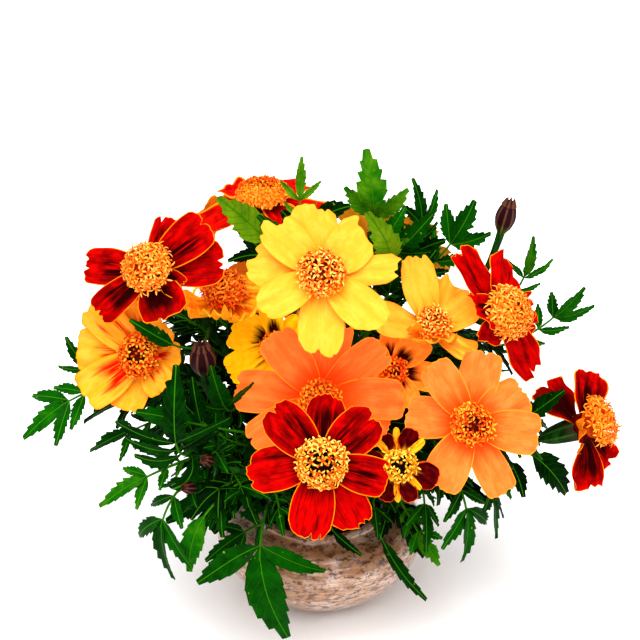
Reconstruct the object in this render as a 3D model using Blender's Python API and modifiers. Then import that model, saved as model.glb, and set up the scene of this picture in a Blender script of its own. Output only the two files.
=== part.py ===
"""French marigolds cut and arranged in a low round bowl of water.

Metres, +Z up. The origin is the centre of the bowl's foot, and the front of the arrangement faces -Y.
The tables below give places and lengths in millimetres and angles in degrees.
"""

import math
from dataclasses import dataclass

import bmesh
import bpy
from mathutils import Vector

MM = 0.001
UP = Vector((0, 0, 1))

# The bowl: half of its section, as (radius, height), up its outside and down its inside
BOWL_OUTSIDE = (
    (0, 0), (19, 0), (22, 1), (29.4, 6.4), (34.6, 12.4), (38, 18.5), (39.5, 25), (38.2, 29.4),
    (34, 32.8), (27.4, 34.6), (26.2, 36.2), (24.6, 37),
)
BOWL_INSIDE = (
    (23.2, 36.3), (23.4, 34.4), (31.6, 30.6), (35.6, 25.4), (33.6, 16.4), (26.4, 8.4), (17, 4.6),
    (0, 3.8),
)
BOWL_STEPS = 24
WATER_LEVEL = 29.0
WATER_GAP = 0.35

# The stems stand upright in three rings of holes in the water
RING_RADIUS = {"centre": 0.0, "inner": 8.0, "outer": 16.5}
RING_COUNT = {"centre": 1, "inner": 7, "outer": 13}
FIRST_SLOT_ANGLE = 270.0
STEM_RADIUS = 1.3
STEM_SPANS = 5
STEM_FOOT_HEIGHT = 7.5
STEM_FREE_HEIGHT = 31.5
HOLE_RADIUS = 1.95
HOLE_SIDES = 6
HOLE_DEPTH_MARGIN = 0.4
HOLE_HEADROOM = 3.0

# One bloom: green calyx, hub with the petals, head of florets, each a little clear of the next
CALYX_SHAPE = ((0.2, 2.9), (0.58, 4.0), (1.0, 4.7))
CALYX_TOP = -1.6
HUB_RADIUS = 5.2
HUB_BOTTOM = -1.1
HUB_TOP = 1.6
PETAL_ROOT_RADIUS = 2.0
PETAL_THICKNESS = 0.7
PETAL_TIERS = (-0.65, 0.85, 0.1)
PETAL_TIER_LIFT = 1.8
PETAL_CUP = 0.05
PETAL_WIDEST_AT = 0.7
PETAL_FULLNESS = 0.85
PETAL_END_TAPER = 0.22
PETAL_CORNER = 0.13
PETAL_NOTCH = 0.035
HEAD_BOTTOM = 2.0
HEAD_ROOT_SHARE = 0.5
HEAD_FACETS = (9, 6)
FLORET_STANDOUT = 1.7

# Leaves
HEART_HEIGHT = 80.0
LEAF_THICKNESS = 0.75
RACHIS_HALF_WIDTH = 0.75
LEAFLET_ANGLE = 48.0
LEAFLET_ROOT = 1.3
LEAFLET_CROWDING = 0.9
LEAFLET_SIZES = (0.8, 1.0)
LEAFLET_OUTLINE = ((0.5, 0.5), (1.0, 0.0), (0.68, -0.42), (0.34, -0.48))
LEAFLET_SPACING = 0.6
TERMINAL_RATIO = 1.25
PETIOLE_STEP = 14.0
LEAF_FALL = 0.012
LEAF_TILT = 0.6
PATH_SAMPLES = 16

BUD_SHAPE = ((0, 1.5), (0.2, 2.9), (0.46, 3.6), (0.72, 3.1), (0.93, 1.7), (1.0, 0.7))
BUD_LENGTH = 12.5
BUD_GAP = 0.3
BUD_STALK_RADII = (0.9, 1.5)
BUD_STALK_SPANS = 5

LEMON = (0.93, 0.68, 0.03)
GOLD = (0.9, 0.42, 0.02)
ORANGE = (0.9, 0.2, 0.02)
RED = (0.55, 0.01, 0.01)
MAROON = (0.16, 0.01, 0.01)
FLORET_GOLD = (0.85, 0.33, 0.03)
LEAF_GREEN = (0.03, 0.16, 0.02)
BUD_BROWN = (0.12, 0.03, 0.03)
STONEWARE = (0.42, 0.28, 0.2)
WATER_BLUE = (0.5, 0.56, 0.55)


@dataclass(frozen=True)
class Leaf:
    """A pinnate leaf.

    It leaves its stem at a share of its length, starts its blade at the place via and ends at tip.
    A face of (azimuth, elevation) turns its upper side, which otherwise faces away from the heart.
    """

    at: float
    via: tuple
    tip: tuple
    pairs: int
    leaflet: float
    slender: float = 0.32
    face: tuple = ()


@dataclass(frozen=True)
class Bud:
    """A closed bud on a side shoot, which leaves its stem at a share of its length."""

    name: str
    at: float
    base: tuple
    facing: tuple
    size: float = 1.0
    plump: float = 1.0


@dataclass(frozen=True)
class Bloom:
    """A flower head on its stem.

    Each petal is (angle, length, width), and an angle of 0 is to the right, 90 up.
    """

    name: str
    centre: tuple
    facing: tuple
    foot: tuple
    petals: tuple
    head: float
    colour: tuple
    lift: float = 5.0
    curl: float = 0.05
    dome: float = 3.0
    waist: float = 3.9
    calyx: float = 12.0
    leaves: tuple = ()
    buds: tuple = ()


@dataclass(frozen=True)
class Spray:
    """A leafy stem with no flower head."""

    name: str
    end: tuple
    facing: tuple
    foot: tuple
    leaves: tuple
    buds: tuple = ()


def ring_of_petals(count, length, width, first=90.0):
    """Equal petals, evenly spaced."""
    return tuple((first + 360.0 * i / count, length, width) for i in range(count))


BLOOMS = (
    Bloom(
        "yellow_large", (0.5, -34, 148), (0, 35), ("centre", 0),
        ((97, 23.5, 16), (137, 25.5, 14), (170, 25, 15), (211, 24, 13), (270, 27.5, 15.5),
         (318, 27, 14), (3, 26.5, 10), (42, 21.5, 16)),
        8.0, LEMON, curl=0.02,
        leaves=(
            Leaf(0.5, (-7, 2, 150), (-6, 8, 172), 1, 12, 0.24, (0, 20)),
            Leaf(0.8, (-11, -10, 147), (-19, -11, 160), 0, 15, 0.36, (10, 20)),
        ),
    ),
    Bloom(
        "red_front", (0.5, -60, 92), (0, 29), ("outer", 0),
        ((87, 23, 13.5), (132, 25, 15), (186, 25, 15.5), (259, 25.5, 15), (299, 25, 15),
         (344, 22.5, 13.5), (42, 24, 15.5)),
        8.8, RED, lift=3, curl=0.0,
        leaves=(
            Leaf(0.2, (3, -36, 50), (14, -43, 40), 1, 13),
        ),
    ),
    Bloom(
        "orange_right", (50.5, -44, 97), (6, 29), ("outer", 2),
        ((78, 25, 14.5), (121, 25.8, 12.5), (168, 22.5, 14.5), (237, 24, 15), (291, 26.5, 12),
         (347, 23, 15), (30, 21, 14.5)),
        8.0, ORANGE, curl=0.03,
        leaves=(
            Leaf(0.65, (49, -41, 68), (52.5, -47, 41), 2, 17),
            Leaf(0.5, (36, -38, 66), (36, -52, 50), 1, 13),
            Leaf(0.8, (57, -32, 76), (68, -36, 60), 2, 14),
            Leaf(0.3, (28, -27, 50), (38, -34, 34), 1, 20, 0.42),
        ),
    ),
    Bloom(
        "orange_back", (0, -29, 98), (0, 18), ("inner", 0),
        ((92, 26, 15), (125, 28, 16), (176, 29, 18), (213, 28, 16), (335, 26, 15), (8, 29, 16),
         (50, 28.5, 16)),
        8.0, ORANGE, curl=0.02,
    ),
    Bloom(
        "yellow_right", (38.6, -17, 118.5), (4, 56), ("inner", 2),
        ((78, 22, 15), (126, 22, 15), (176, 18, 13), (226, 16, 12), (278, 17, 14), (326, 14, 13),
         (24, 16, 13)),
        6.2, LEMON, lift=6, curl=0.4, dome=2.4, waist=4.4,
    ),
    Bloom(
        "red_left", (-56, -23, 144), (-16, 38), ("outer", 9),
        ((182, 25, 13.5), (226, 24, 12), (288, 19, 15), (340, 20, 14), (14, 24.5, 15), (48, 24, 14),
         (86, 19, 12)),
        8.6, RED, lift=1, curl=-0.04, dome=4.6,
        leaves=(
            Leaf(0.65, (-49, -31, 120), (-62, -36, 132), 0, 15, 0.3, (-10, 40)),
            Leaf(0.5, (-48, 16, 110), (-74, 18, 118), 2, 15),
        ),
    ),
    Bloom(
        "red_right", (61.5, -17, 124.5), (38, 28), ("outer", 4),
        ((112, 26, 13.5), (160, 16, 12), (222, 12, 10), (292, 26.5, 15), (334, 23, 15), (24, 20, 14),
         (66, 22, 14)),
        9.2, RED, lift=-4, curl=-0.08, dome=4.8, waist=4.6,
        leaves=(
            Leaf(0.65, (79, 8, 105), (93, 5, 125), 2, 14, 0.3, (20, 20)),
            Leaf(0.8, (70, 14, 116), (75, 11, 141), 1, 14, 0.22, (0, 20)),
        ),
        buds=(Bud("bud_top", 0.65, (63.2, 6, 144.5), (80, 78)),),
    ),
    Bloom(
        "red_far_right", (94, -12, 76), (70, 30), ("outer", 3),
        ((90, 21, 12), (40, 22, 12), (178, 12, 10), (238, 23, 12), (288, 24, 12), (336, 19, 12)),
        7.6, RED, lift=-4, curl=-0.06, dome=4.6, waist=6.6, calyx=15,
        leaves=(
            Leaf(0.65, (73, -14, 80), (87, -19, 92), 0, 18, 0.36, (0, 50)),
            Leaf(0.8, (77, -12, 66), (91, -19, 50), 1, 15, 0.36),
            Leaf(0.5, (68, -14, 64), (72, -24, 53), 0, 13, 0.36),
            Leaf(0.35, (52, 22, 72), (74, 30, 74), 2, 15),
        ),
    ),
    Bloom(
        "top_orange", (-20.5, 27, 147), (0, 82), ("inner", 4),
        ((180, 16, 13), (212, 26, 14), (262, 17, 13), (308, 19, 13), (356, 26, 13), (46, 22, 13),
         (92, 22, 13), (136, 20, 13)),
        9.2, RED, lift=-4, curl=-0.1, dome=5.2,
    ),
    Bloom(
        "half_open", (-33, -4, 124), (-6, 64), ("inner", 5),
        ((92, 16.5, 10.5), (139, 15.5, 10), (211, 15.5, 10.5), (262, 16.5, 10.5), (313, 16.5, 10.5),
         (2, 16.5, 10.5), (47, 16.5, 10)),
        7.4, GOLD, lift=0, curl=-0.05, dome=5,
        leaves=(
            Leaf(0.65, (-32, -30, 94), (-35, -41, 117), 1, 19, 0.3, (0, 30)),
            Leaf(0.35, (-36, -33, 87), (-47, -36, 102), 1, 15, 0.36, (0, 40)),
            Leaf(0.2, (-34, -20, 54), (-56, -30, 50), 1, 19, 0.38),
        ),
        buds=(Bud("bud_left", 0.5, (-39.4, -30, 108.5), (-10, 80), 1.0, 1.28),),
    ),
    Bloom(
        "bicolor_left", (-60.5, -25, 113), (-14, 27), ("outer", 10),
        ((181, 23, 15.5), (144, 24, 14), (107, 19, 12), (222, 24, 15.5), (262, 20, 13), (312, 15, 12),
         (0, 14, 12), (52, 14, 12)),
        7.6, GOLD, lift=6, curl=0.05,
        leaves=(
            Leaf(0.8, (-82, -22, 96), (-105, -26, 82), 2, 17, 0.32, (-30, 40)),
            Leaf(0.65, (-79, -12, 98), (-86, -19, 116), 1, 13, 0.26, (0, 30)),
            Leaf(0.5, (-60, -22, 84), (-81, -20, 70), 1, 15, 0.3),
            Leaf(0.5, (-52, 20, 82), (-74, 30, 86), 2, 15),
        ),
    ),
    Bloom(
        "golden_mid", (-15, -9, 107.5), (-14, 26), ("inner", 6),
        ((147, 18.5, 12), (204, 20, 12), (246, 15, 11), (98, 15, 11), (50, 13, 10), (300, 13, 10),
         (0, 13, 10)),
        5.8, GOLD, lift=6, curl=0.05,
        leaves=(
            Leaf(0.35, (-26, -30, 62), (-40, -44, 56), 1, 18, 0.38),
        ),
    ),
    Bloom(
        "bicolor_mid", (25, -20, 104), (10, 27), ("inner", 1),
        ((75, 14.5, 10.5), (28, 14, 10.5), (342, 17.5, 11), (125, 13, 9), (235, 11, 8), (292, 12, 9)),
        5.4, GOLD, lift=8, curl=0.1, dome=2.4,
    ),
    Bloom(
        "dark_small", (25.5, -57.5, 89.7), (6, 27), ("outer", 1),
        ((106, 12, 6), (62, 12, 6.5), (335, 14.5, 9), (285, 12.5, 5.5), (250, 12.5, 5.5), (200, 11, 5.5),
         (156, 11, 5.5)),
        5.4, MAROON, lift=8, curl=0.05, dome=2.6,
        leaves=(
            Leaf(0.5, (17, -42, 56), (38.5, -52, 30), 2, 13, 0.26, (40, 20)),
        ),
    ),
    Bloom(
        "red_behind", (-52, 40, 122), (238, 30), ("outer", 8),
        ring_of_petals(7, 24, 14, 80), 8.4, RED, lift=2, curl=-0.02, dome=4,
        leaves=(
            Leaf(0.65, (-48, 34, 96), (-66, 44, 92), 2, 16),
        ),
    ),
    Bloom(
        "yellow_behind", (26, 42, 120), (158, 34), ("outer", 5),
        ring_of_petals(8, 25, 14.5, 90), 8.0, LEMON, curl=0.03,
        leaves=(
            Leaf(0.5, (42, 38, 90), (58, 52, 82), 2, 17),
        ),
    ),
    Bloom(
        "orange_behind", (-14, 54, 98), (196, 20), ("outer", 7),
        ring_of_petals(7, 25, 15, 90), 8.0, ORANGE, curl=0.03,
        leaves=(
            Leaf(0.5, (-24, 42, 62), (-30, 56, 44), 2, 17),
            Leaf(0.3, (10, 42, 56), (18, 56, 40), 2, 17),
        ),
    ),
)

SPRAYS = (
    Spray(
        "spray_left", (-45, -36, 84), (-30, 50), ("outer", 11),
        (
            Leaf(0.93, (-46.7, -47, 87), (-47.5, -46, 121), 3, 20, 0.32, (0, 28)),
            Leaf(0.65, (-50, -43, 68), (-56, -47, 34), 2, 19),
            Leaf(0.8, (-58, -43, 76), (-75, -45, 66), 1, 15),
        ),
        (Bud("bud_low", 0.5, (-43, -45, 72), (-30, 30), 0.6),),
    ),
    Spray(
        "spray_front", (-26, -44, 78), (-20, 40), ("outer", 12),
        (
            Leaf(0.5, (-20.5, -50, 50), (-15, -60, 13), 1, 30, 0.36, (0, 20)),
            Leaf(0.8, (-37, -49, 66), (-47, -54, 42), 2, 16),
            Leaf(0.2, (-28, -30, 42), (-42, -36, 36), 1, 14),
        ),
        (Bud("bud_side", 0.93, (-37, -46, 83), (-20, 40), 0.6),),
    ),
    Spray(
        "spray_top", (18, 6, 144), (-10, 80), ("inner", 3),
        (
            Leaf(1.0, (15.8, 3, 152), (15.6, 6, 176.5), 1, 20, 0.38, (0, 24)),
            Leaf(0.8, (24, -8, 142), (16.5, -13, 162), 0, 20, 0.4, (0, 24)),
            Leaf(0.65, (38, 10, 128), (55, 12, 153), 2, 13, 0.3, (0, 30)),
            Leaf(0.8, (32, 15, 132), (33.5, 16, 160), 2, 12, 0.24, (20, 20)),
        ),
    ),
)


def direction(facing):
    """The unit vector that faces azimuth (0 to the front, 90 to the right) and elevation."""
    azimuth, elevation = (math.radians(a) for a in facing)
    return Vector((
        math.sin(azimuth) * math.cos(elevation),
        -math.cos(azimuth) * math.cos(elevation),
        math.sin(elevation),
    ))


def foot_place(foot):
    """Where a stem stands, from its ring and its slot on it."""
    ring, slot = foot
    angle = math.radians(FIRST_SLOT_ANGLE + 360.0 * slot / RING_COUNT[ring])
    return Vector((math.cos(angle), math.sin(angle), 0)) * RING_RADIUS[ring]


def bezier(controls, share):
    """The point of a Bezier curve of any degree at a share of its parameter."""
    points = [Vector(p) for p in controls]
    while len(points) > 1:
        points = [a.lerp(b, share) for a, b in zip(points, points[1:])]
    return points[0]


def make_material(name, colour, roughness):
    """A plain Principled material."""
    material = bpy.data.materials.new(name)
    material.use_nodes = True
    shader = material.node_tree.nodes["Principled BSDF"]
    shader.inputs["Base Color"].default_value = (*colour, 1)
    shader.inputs["Roughness"].default_value = roughness
    shader.inputs["Metallic"].default_value = 0.0
    return material


def add_object(name, data):
    """A new object in the arrangement's collection."""
    made = bpy.data.objects.new(name, data)
    ARRANGEMENT.objects.link(made)
    return made


def baked(obj):
    """The object's mesh as its modifiers leave it, with coincident points welded. The object goes."""
    bpy.context.view_layer.update()
    evaluated = obj.evaluated_get(bpy.context.evaluated_depsgraph_get())
    mesh = bpy.data.meshes.new_from_object(evaluated)
    mesh.transform(obj.matrix_world)
    bpy.data.objects.remove(obj)
    shape = bmesh.new()
    shape.from_mesh(mesh)
    bmesh.ops.remove_doubles(shape, verts=shape.verts, dist=0.00001)
    shape.to_mesh(mesh)
    shape.free()
    return mesh


def tube(points, radii, bevel_resolution=1):
    """A round tube through points, in millimetres, with a radius at each."""
    curve = bpy.data.curves.new("tube", "CURVE")
    curve.dimensions = "3D"
    curve.bevel_depth = MM
    curve.bevel_resolution = bevel_resolution
    curve.use_fill_caps = True
    spline = curve.splines.new("POLY")
    spline.points.add(len(points) - 1)
    for place, point, radius in zip(spline.points, points, radii):
        place.co = (*(Vector(point) * MM), 1)
        place.radius = radius
    return baked(add_object("tube", curve))


def thickened(mesh, thickness):
    """An open surface given an even thickness on both sides of itself."""
    sheet = add_object("sheet", mesh)
    solid = sheet.modifiers.new("thickness", "SOLIDIFY")
    solid.thickness = thickness * MM
    solid.offset = 0
    return baked(sheet)


def drop_scraps(mesh):
    """Keeps the largest of a mesh's loose parts, which is the whole body but for slivers."""
    shape = bmesh.new()
    shape.from_mesh(mesh)
    unseen = set(shape.verts)
    islands = []
    while unseen:
        island = {unseen.pop()}
        edge_of_search = set(island)
        while edge_of_search:
            near = {edge.other_vert(v) for v in edge_of_search for edge in v.link_edges}
            edge_of_search = near & unseen
            unseen -= edge_of_search
            island |= edge_of_search
        islands.append(island)
    islands.sort(key=len)
    for island in islands[:-1]:
        bmesh.ops.delete(shape, geom=list(island), context="VERTS")
    shape.to_mesh(mesh)
    shape.free()


def fused(name, meshes, material):
    """One closed body from overlapping closed pieces."""
    body = add_object(name, meshes[0])
    if len(meshes) > 1:
        pieces = bpy.data.collections.new(name + "_pieces")
        bpy.context.scene.collection.children.link(pieces)
        for mesh in meshes[1:]:
            pieces.objects.link(bpy.data.objects.new("piece", mesh))
        join = body.modifiers.new("join", "BOOLEAN")
        join.operation = "UNION"
        join.operand_type = "COLLECTION"
        join.collection = pieces
        join.solver = "MANIFOLD"
        bpy.context.view_layer.update()
        evaluated = body.evaluated_get(bpy.context.evaluated_depsgraph_get())
        joined = bpy.data.meshes.new_from_object(evaluated)
        body.modifiers.clear()
        body.data = joined
        drop_scraps(joined)
        for piece in list(pieces.objects):
            bpy.data.objects.remove(piece)
        bpy.data.collections.remove(pieces)
    body.data.materials.clear()
    body.data.materials.append(material)
    return body


def turned(name, profile, steps, material):
    """A solid of revolution from a half section that starts and ends on the axis."""
    shape = bmesh.new()
    rim = [shape.verts.new((radius * MM, 0, height * MM)) for radius, height in profile]
    for a, b in zip(rim, rim[1:]):
        shape.edges.new((a, b))
    mesh = bpy.data.meshes.new(name)
    shape.to_mesh(mesh)
    shape.free()
    body = add_object(name, mesh)
    screw = body.modifiers.new("turn", "SCREW")
    screw.steps = steps
    screw.render_steps = steps
    screw.use_merge_vertices = True
    screw.merge_threshold = 0.00001
    body.data.materials.append(material)
    return body


class HeadFrame:
    """Places in a flower head: angle round its axis from the right, distance out, height along its axis."""

    def __init__(self, bloom):
        self.centre = Vector(bloom.centre)
        self.axis = direction(bloom.facing)
        self.right = UP.cross(self.axis).normalized()
        self.up = self.axis.cross(self.right)

    def outward(self, angle):
        turn = math.radians(angle)
        return self.right * math.cos(turn) + self.up * math.sin(turn)

    def place(self, outward, out, side, height):
        sideways = self.axis.cross(outward)
        return (self.centre + outward * out + sideways * side + self.axis * height) * MM


def petal_mesh(bloom, frame, index):
    """One ray petal: a pointed root sunk in the hub, widest at two thirds, with a blunt notched end."""
    angle, length, width = bloom.petals[index]
    last_of_odd = index == len(bloom.petals) - 1 and index % 2 == 0
    tier = PETAL_TIERS[2 if last_of_odd else index % 2]
    rise = math.tan(math.radians(bloom.lift + PETAL_TIER_LIFT * tier))
    outward = frame.outward(angle)
    shape = bmesh.new()
    bmesh.ops.create_grid(shape, x_segments=2, y_segments=3, size=1)
    for vert in shape.verts:
        across = vert.co.x
        along = (vert.co.y + 1) / 2
        swell = math.sin(math.pi / 2 * min(along / PETAL_WIDEST_AT, 1)) ** PETAL_FULLNESS
        breadth = swell * (1 - PETAL_END_TAPER * along ** 5)
        reach = length * (1 - PETAL_CORNER * abs(across) - PETAL_NOTCH * (1 - abs(across)))
        out = PETAL_ROOT_RADIUS + (reach - PETAL_ROOT_RADIUS) * along
        slope = (out - PETAL_ROOT_RADIUS) * rise
        bend = bloom.curl * length * along ** 2 + PETAL_CUP * width * across ** 2 * along
        vert.co = frame.place(outward, out, across * width / 2 * breadth, tier + slope + bend)
    bmesh.ops.remove_doubles(shape, verts=shape.verts, dist=0.00001)
    bmesh.ops.triangulate(shape, faces=shape.faces)
    mesh = bpy.data.meshes.new("petal")
    shape.to_mesh(mesh)
    shape.free()
    return thickened(mesh, PETAL_THICKNESS)


def make_petals(bloom, material):
    """All the ray petals of a bloom, their roots sunk in the hub that carries them."""
    frame = HeadFrame(bloom)
    ends = [(frame.centre + frame.axis * height) for height in (HUB_BOTTOM, HUB_TOP)]
    hub = tube(ends, (HUB_RADIUS, HUB_RADIUS))
    petals = [petal_mesh(bloom, frame, i) for i in range(len(bloom.petals))]
    return fused(bloom.name + "_petals", [hub, *petals], material)


def make_florets(bloom, material):
    """The head of disc florets, narrow at its root and domed, each floret a point that stands out of it."""
    frame = HeadFrame(bloom)
    shape = bmesh.new()
    around, up = HEAD_FACETS
    bmesh.ops.create_uvsphere(shape, u_segments=around, v_segments=up, radius=1)
    low = [v for v in shape.verts if v.co.z < -0.6]
    bmesh.ops.delete(shape, geom=low, context="VERTS")
    rim = [e for e in shape.edges if e.is_boundary]
    bmesh.ops.edgeloop_fill(shape, edges=rim)
    florets = [f for f in shape.faces if f.calc_center_median().z > 0]
    made = bmesh.ops.poke(shape, faces=florets)
    for vert in made["verts"]:
        vert.co *= 1 + FLORET_STANDOUT / bloom.head
    for vert in shape.verts:
        x, y, z = vert.co
        width = bloom.head * (1 if z > -0.1 else HEAD_ROOT_SHARE)
        height = bloom.waist + z * bloom.dome if z > -0.1 else HEAD_BOTTOM
        vert.co = frame.place(frame.right, x * width, y * width, height)
    bmesh.ops.recalc_face_normals(shape, faces=shape.faces)
    if shape.calc_volume(signed=True) < 0:
        bmesh.ops.reverse_faces(shape, faces=shape.faces)
    mesh = bpy.data.meshes.new(bloom.name + "_florets")
    shape.to_mesh(mesh)
    shape.free()
    mesh.materials.append(material)
    return add_object(bloom.name + "_florets", mesh)


class StemPath:
    """A stem: upright in the water, then one smooth bend to its end."""

    def __init__(self, foot, end, end_direction):
        base = foot_place(foot)
        self.start = base + UP * STEM_FOOT_HEIGHT
        low = base + UP * STEM_FREE_HEIGHT
        end = Vector(end)
        span = (end - low).length
        self.controls = (low, low + UP * span * 0.4, end - end_direction * span * 0.25, end)

    def at(self, share):
        return bezier(self.controls, share)

    def points(self):
        return [self.start] + [self.at(i / STEM_SPANS) for i in range(STEM_SPANS + 1)]


class LeafBlade:
    """The open surface of a pinnate leaf, laid out flat along its rib and then bent along its path."""

    def __init__(self, leaf, root):
        self.leaf = leaf
        via, tip = Vector(leaf.via), Vector(leaf.tip)
        before, after = (via - root).length, (tip - via).length
        share = before / (before + after)
        middle = (via - root * (1 - share) ** 2 - tip * share ** 2) / (2 * share * (1 - share))
        self.controls = (root, middle, tip)
        outward = (via - UP * HEART_HEIGHT).normalized() + UP * LEAF_TILT
        self.normal = direction(leaf.face) if leaf.face else outward.normalized()
        steps = [bezier(self.controls, i / PATH_SAMPLES) for i in range(PATH_SAMPLES + 1)]
        self.length = sum((a - b).length for a, b in zip(steps, steps[1:]))
        self.stalk = self.length * share
        self.shape = bmesh.new()

    def place(self, along, across):
        """From flat millimetres along and across the rib to the bent surface."""
        share = min(along / self.length, 1.0)
        here = bezier(self.controls, share)
        ahead = bezier(self.controls, min(share + 0.02, 1.0))
        behind = bezier(self.controls, max(share - 0.02, 0.0))
        tangent = (ahead - behind).normalized()
        side = tangent.cross(self.normal).normalized()
        face = side.cross(tangent)
        beyond = tangent * (along - share * self.length)
        return (here + beyond + side * across - face * across * across * LEAF_FALL) * MM

    def vert(self, along, across):
        return self.shape.verts.new(self.place(along, across))

    def leaflet(self, before, after, base, angle, length, width, side):
        """One leaflet, a toothed lance, from the two rib points that it grows between."""
        lean = math.radians(angle)
        ahead = Vector((math.cos(lean), math.sin(lean) * side))
        inward = Vector((math.sin(lean), -math.cos(lean) * side))
        outline = []
        for reach, breadth in LEAFLET_OUTLINE:
            spot = Vector(base) + ahead * length * reach + inward * width * breadth
            outline.append(self.vert(spot.x, spot.y))
        ring = [after, *outline, before]
        self.shape.faces.new(ring if side > 0 else ring[::-1])

    def build(self):
        leaf = self.leaf
        half = RACHIS_HALF_WIDTH
        terminal = leaf.leaflet * TERMINAL_RATIO
        last = self.length - terminal
        gaps = max(leaf.pairs - 1, 1)
        reach_back = min(last - self.stalk, leaf.leaflet * LEAFLET_SPACING * gaps)
        first = last - reach_back if leaf.pairs > 1 else last
        places = [first + (last - first) * i / gaps for i in range(leaf.pairs)]
        widest = (last - first) / gaps * math.sin(math.radians(LEAFLET_ANGLE)) * LEAFLET_CROWDING
        lean_start = max(first - LEAFLET_ROOT, 1.0)
        spans = int(lean_start // PETIOLE_STEP) + 1
        stations = [lean_start * i / spans for i in range(spans)]
        for place in places:
            stations += [place - LEAFLET_ROOT, place + LEAFLET_ROOT]
        if not places:
            stations.append(last)
        left = [self.vert(along, half) for along in stations]
        right = [self.vert(along, -half) for along in stations]
        for i in range(len(stations) - 1):
            self.shape.faces.new((left[i], right[i], right[i + 1], left[i + 1]))
        for number, place in enumerate(places):
            small, large = LEAFLET_SIZES
            growth = number / gaps if leaf.pairs > 1 else 0.5
            size = leaf.leaflet * (small + (large - small) * growth)
            width = size * leaf.slender
            if leaf.pairs > 1:
                width = min(width, widest)
            start = spans + 2 * number
            for rim, side in ((left, 1), (right, -1)):
                base = (place, half * side)
                self.leaflet(rim[start], rim[start + 1], base, LEAFLET_ANGLE, size, width, side)
        end = (stations[-1], 0)
        self.leaflet(left[-1], right[-1], end, 0, self.length - end[0], terminal * leaf.slender, 1)
        bmesh.ops.triangulate(self.shape, faces=self.shape.faces)
        mesh = bpy.data.meshes.new("leaf")
        self.shape.to_mesh(mesh)
        self.shape.free()
        return thickened(mesh, LEAF_THICKNESS)


def bud_stalk(bud, path):
    """The side shoot that carries a bud, swelling towards it."""
    root = path.at(bud.at)
    axis = direction(bud.facing)
    end = Vector(bud.base) - axis * BUD_GAP
    controls = (root, end - axis * (end - root).length * 0.5, end)
    thin, thick = (radius * bud.size ** 0.5 for radius in BUD_STALK_RADII)
    shares = [i / BUD_STALK_SPANS for i in range(BUD_STALK_SPANS + 1)]
    radii = [thin + (thick - thin) * share ** 3 for share in shares]
    return tube([bezier(controls, share) for share in shares], radii)


def make_bud(bud, material):
    """A closed bud."""
    axis = direction(bud.facing)
    length = BUD_LENGTH * bud.size
    points = [Vector(bud.base) + axis * reach * length for reach, radius in BUD_SHAPE]
    mesh = tube(points, [radius * bud.size * bud.plump for reach, radius in BUD_SHAPE])
    mesh.materials.clear()
    mesh.materials.append(material)
    return add_object(bud.name, mesh)


def make_green(name, path, calyx, leaves, buds, material):
    """A green stem fused with its leaves, its side shoots and, under a bloom, its calyx."""
    points = path.points()
    radii = [STEM_RADIUS] * len(points)
    top = points[-1]
    for place, radius in calyx:
        points.append(top + place)
        radii.append(radius)
    meshes = [tube(points, radii)]
    meshes += [LeafBlade(leaf, path.at(leaf.at)).build() for leaf in leaves]
    meshes += [bud_stalk(bud, path) for bud in buds]
    return fused(name, meshes, material)


def make_bloom(bloom, petal_material, floret_material, green, brown):
    """One bloom: petals, florets, and the green stem with its calyx, leaves and buds."""
    axis = direction(bloom.facing)
    end = Vector(bloom.centre) + axis * (CALYX_TOP - bloom.calyx)
    path = StemPath(bloom.foot, end, axis)
    make_petals(bloom, petal_material)
    make_florets(bloom, floret_material)
    calyx = [(axis * bloom.calyx * reach, radius) for reach, radius in CALYX_SHAPE]
    make_green(bloom.name + "_stem", path, calyx, bloom.leaves, bloom.buds, green)
    for bud in bloom.buds:
        make_bud(bud, brown)


def make_spray(spray, green, brown):
    """One leafy stem with its buds."""
    path = StemPath(spray.foot, spray.end, direction(spray.facing))
    make_green(spray.name, path, (), spray.leaves, spray.buds, green)
    for bud in spray.buds:
        make_bud(bud, brown)


def water_profile():
    """The inside of the bowl up to the water level, drawn in by the gap, down its outer side."""
    above = [spot for spot in BOWL_INSIDE if spot[1] >= WATER_LEVEL][-1]
    inside = [spot for spot in BOWL_INSIDE if spot[1] < WATER_LEVEL]
    share = (above[1] - WATER_LEVEL) / (above[1] - inside[0][1])
    edge = above[0] + (inside[0][0] - above[0]) * share
    profile = [(0, WATER_LEVEL), (edge - 2 * WATER_GAP, WATER_LEVEL)]
    return profile + [(max(radius - WATER_GAP, 0), height + WATER_GAP) for radius, height in inside]


def make_water(feet, material):
    """The water, with a plain hole round each stem."""
    water = turned("water", water_profile(), BOWL_STEPS, material)
    bottom = STEM_FOOT_HEIGHT - HOLE_DEPTH_MARGIN
    height = WATER_LEVEL + HOLE_HEADROOM - bottom
    for number, foot in enumerate(feet):
        place = foot_place(foot) + UP * (bottom + height / 2)
        bpy.ops.mesh.primitive_cylinder_add(
            vertices=HOLE_SIDES, radius=HOLE_RADIUS * MM, depth=height * MM, location=place * MM
        )
        cutter = bpy.context.object
        cutter.name = f"hole_cutter_{number}"
        cutter.hide_render = True
        cutter.display_type = "WIRE"
        for other in list(cutter.users_collection):
            other.objects.unlink(cutter)
        CUTTERS.objects.link(cutter)
    cut = water.modifiers.new("holes", "BOOLEAN")
    cut.operation = "DIFFERENCE"
    cut.operand_type = "COLLECTION"
    cut.collection = CUTTERS
    cut.solver = "EXACT"
    return water


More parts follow.
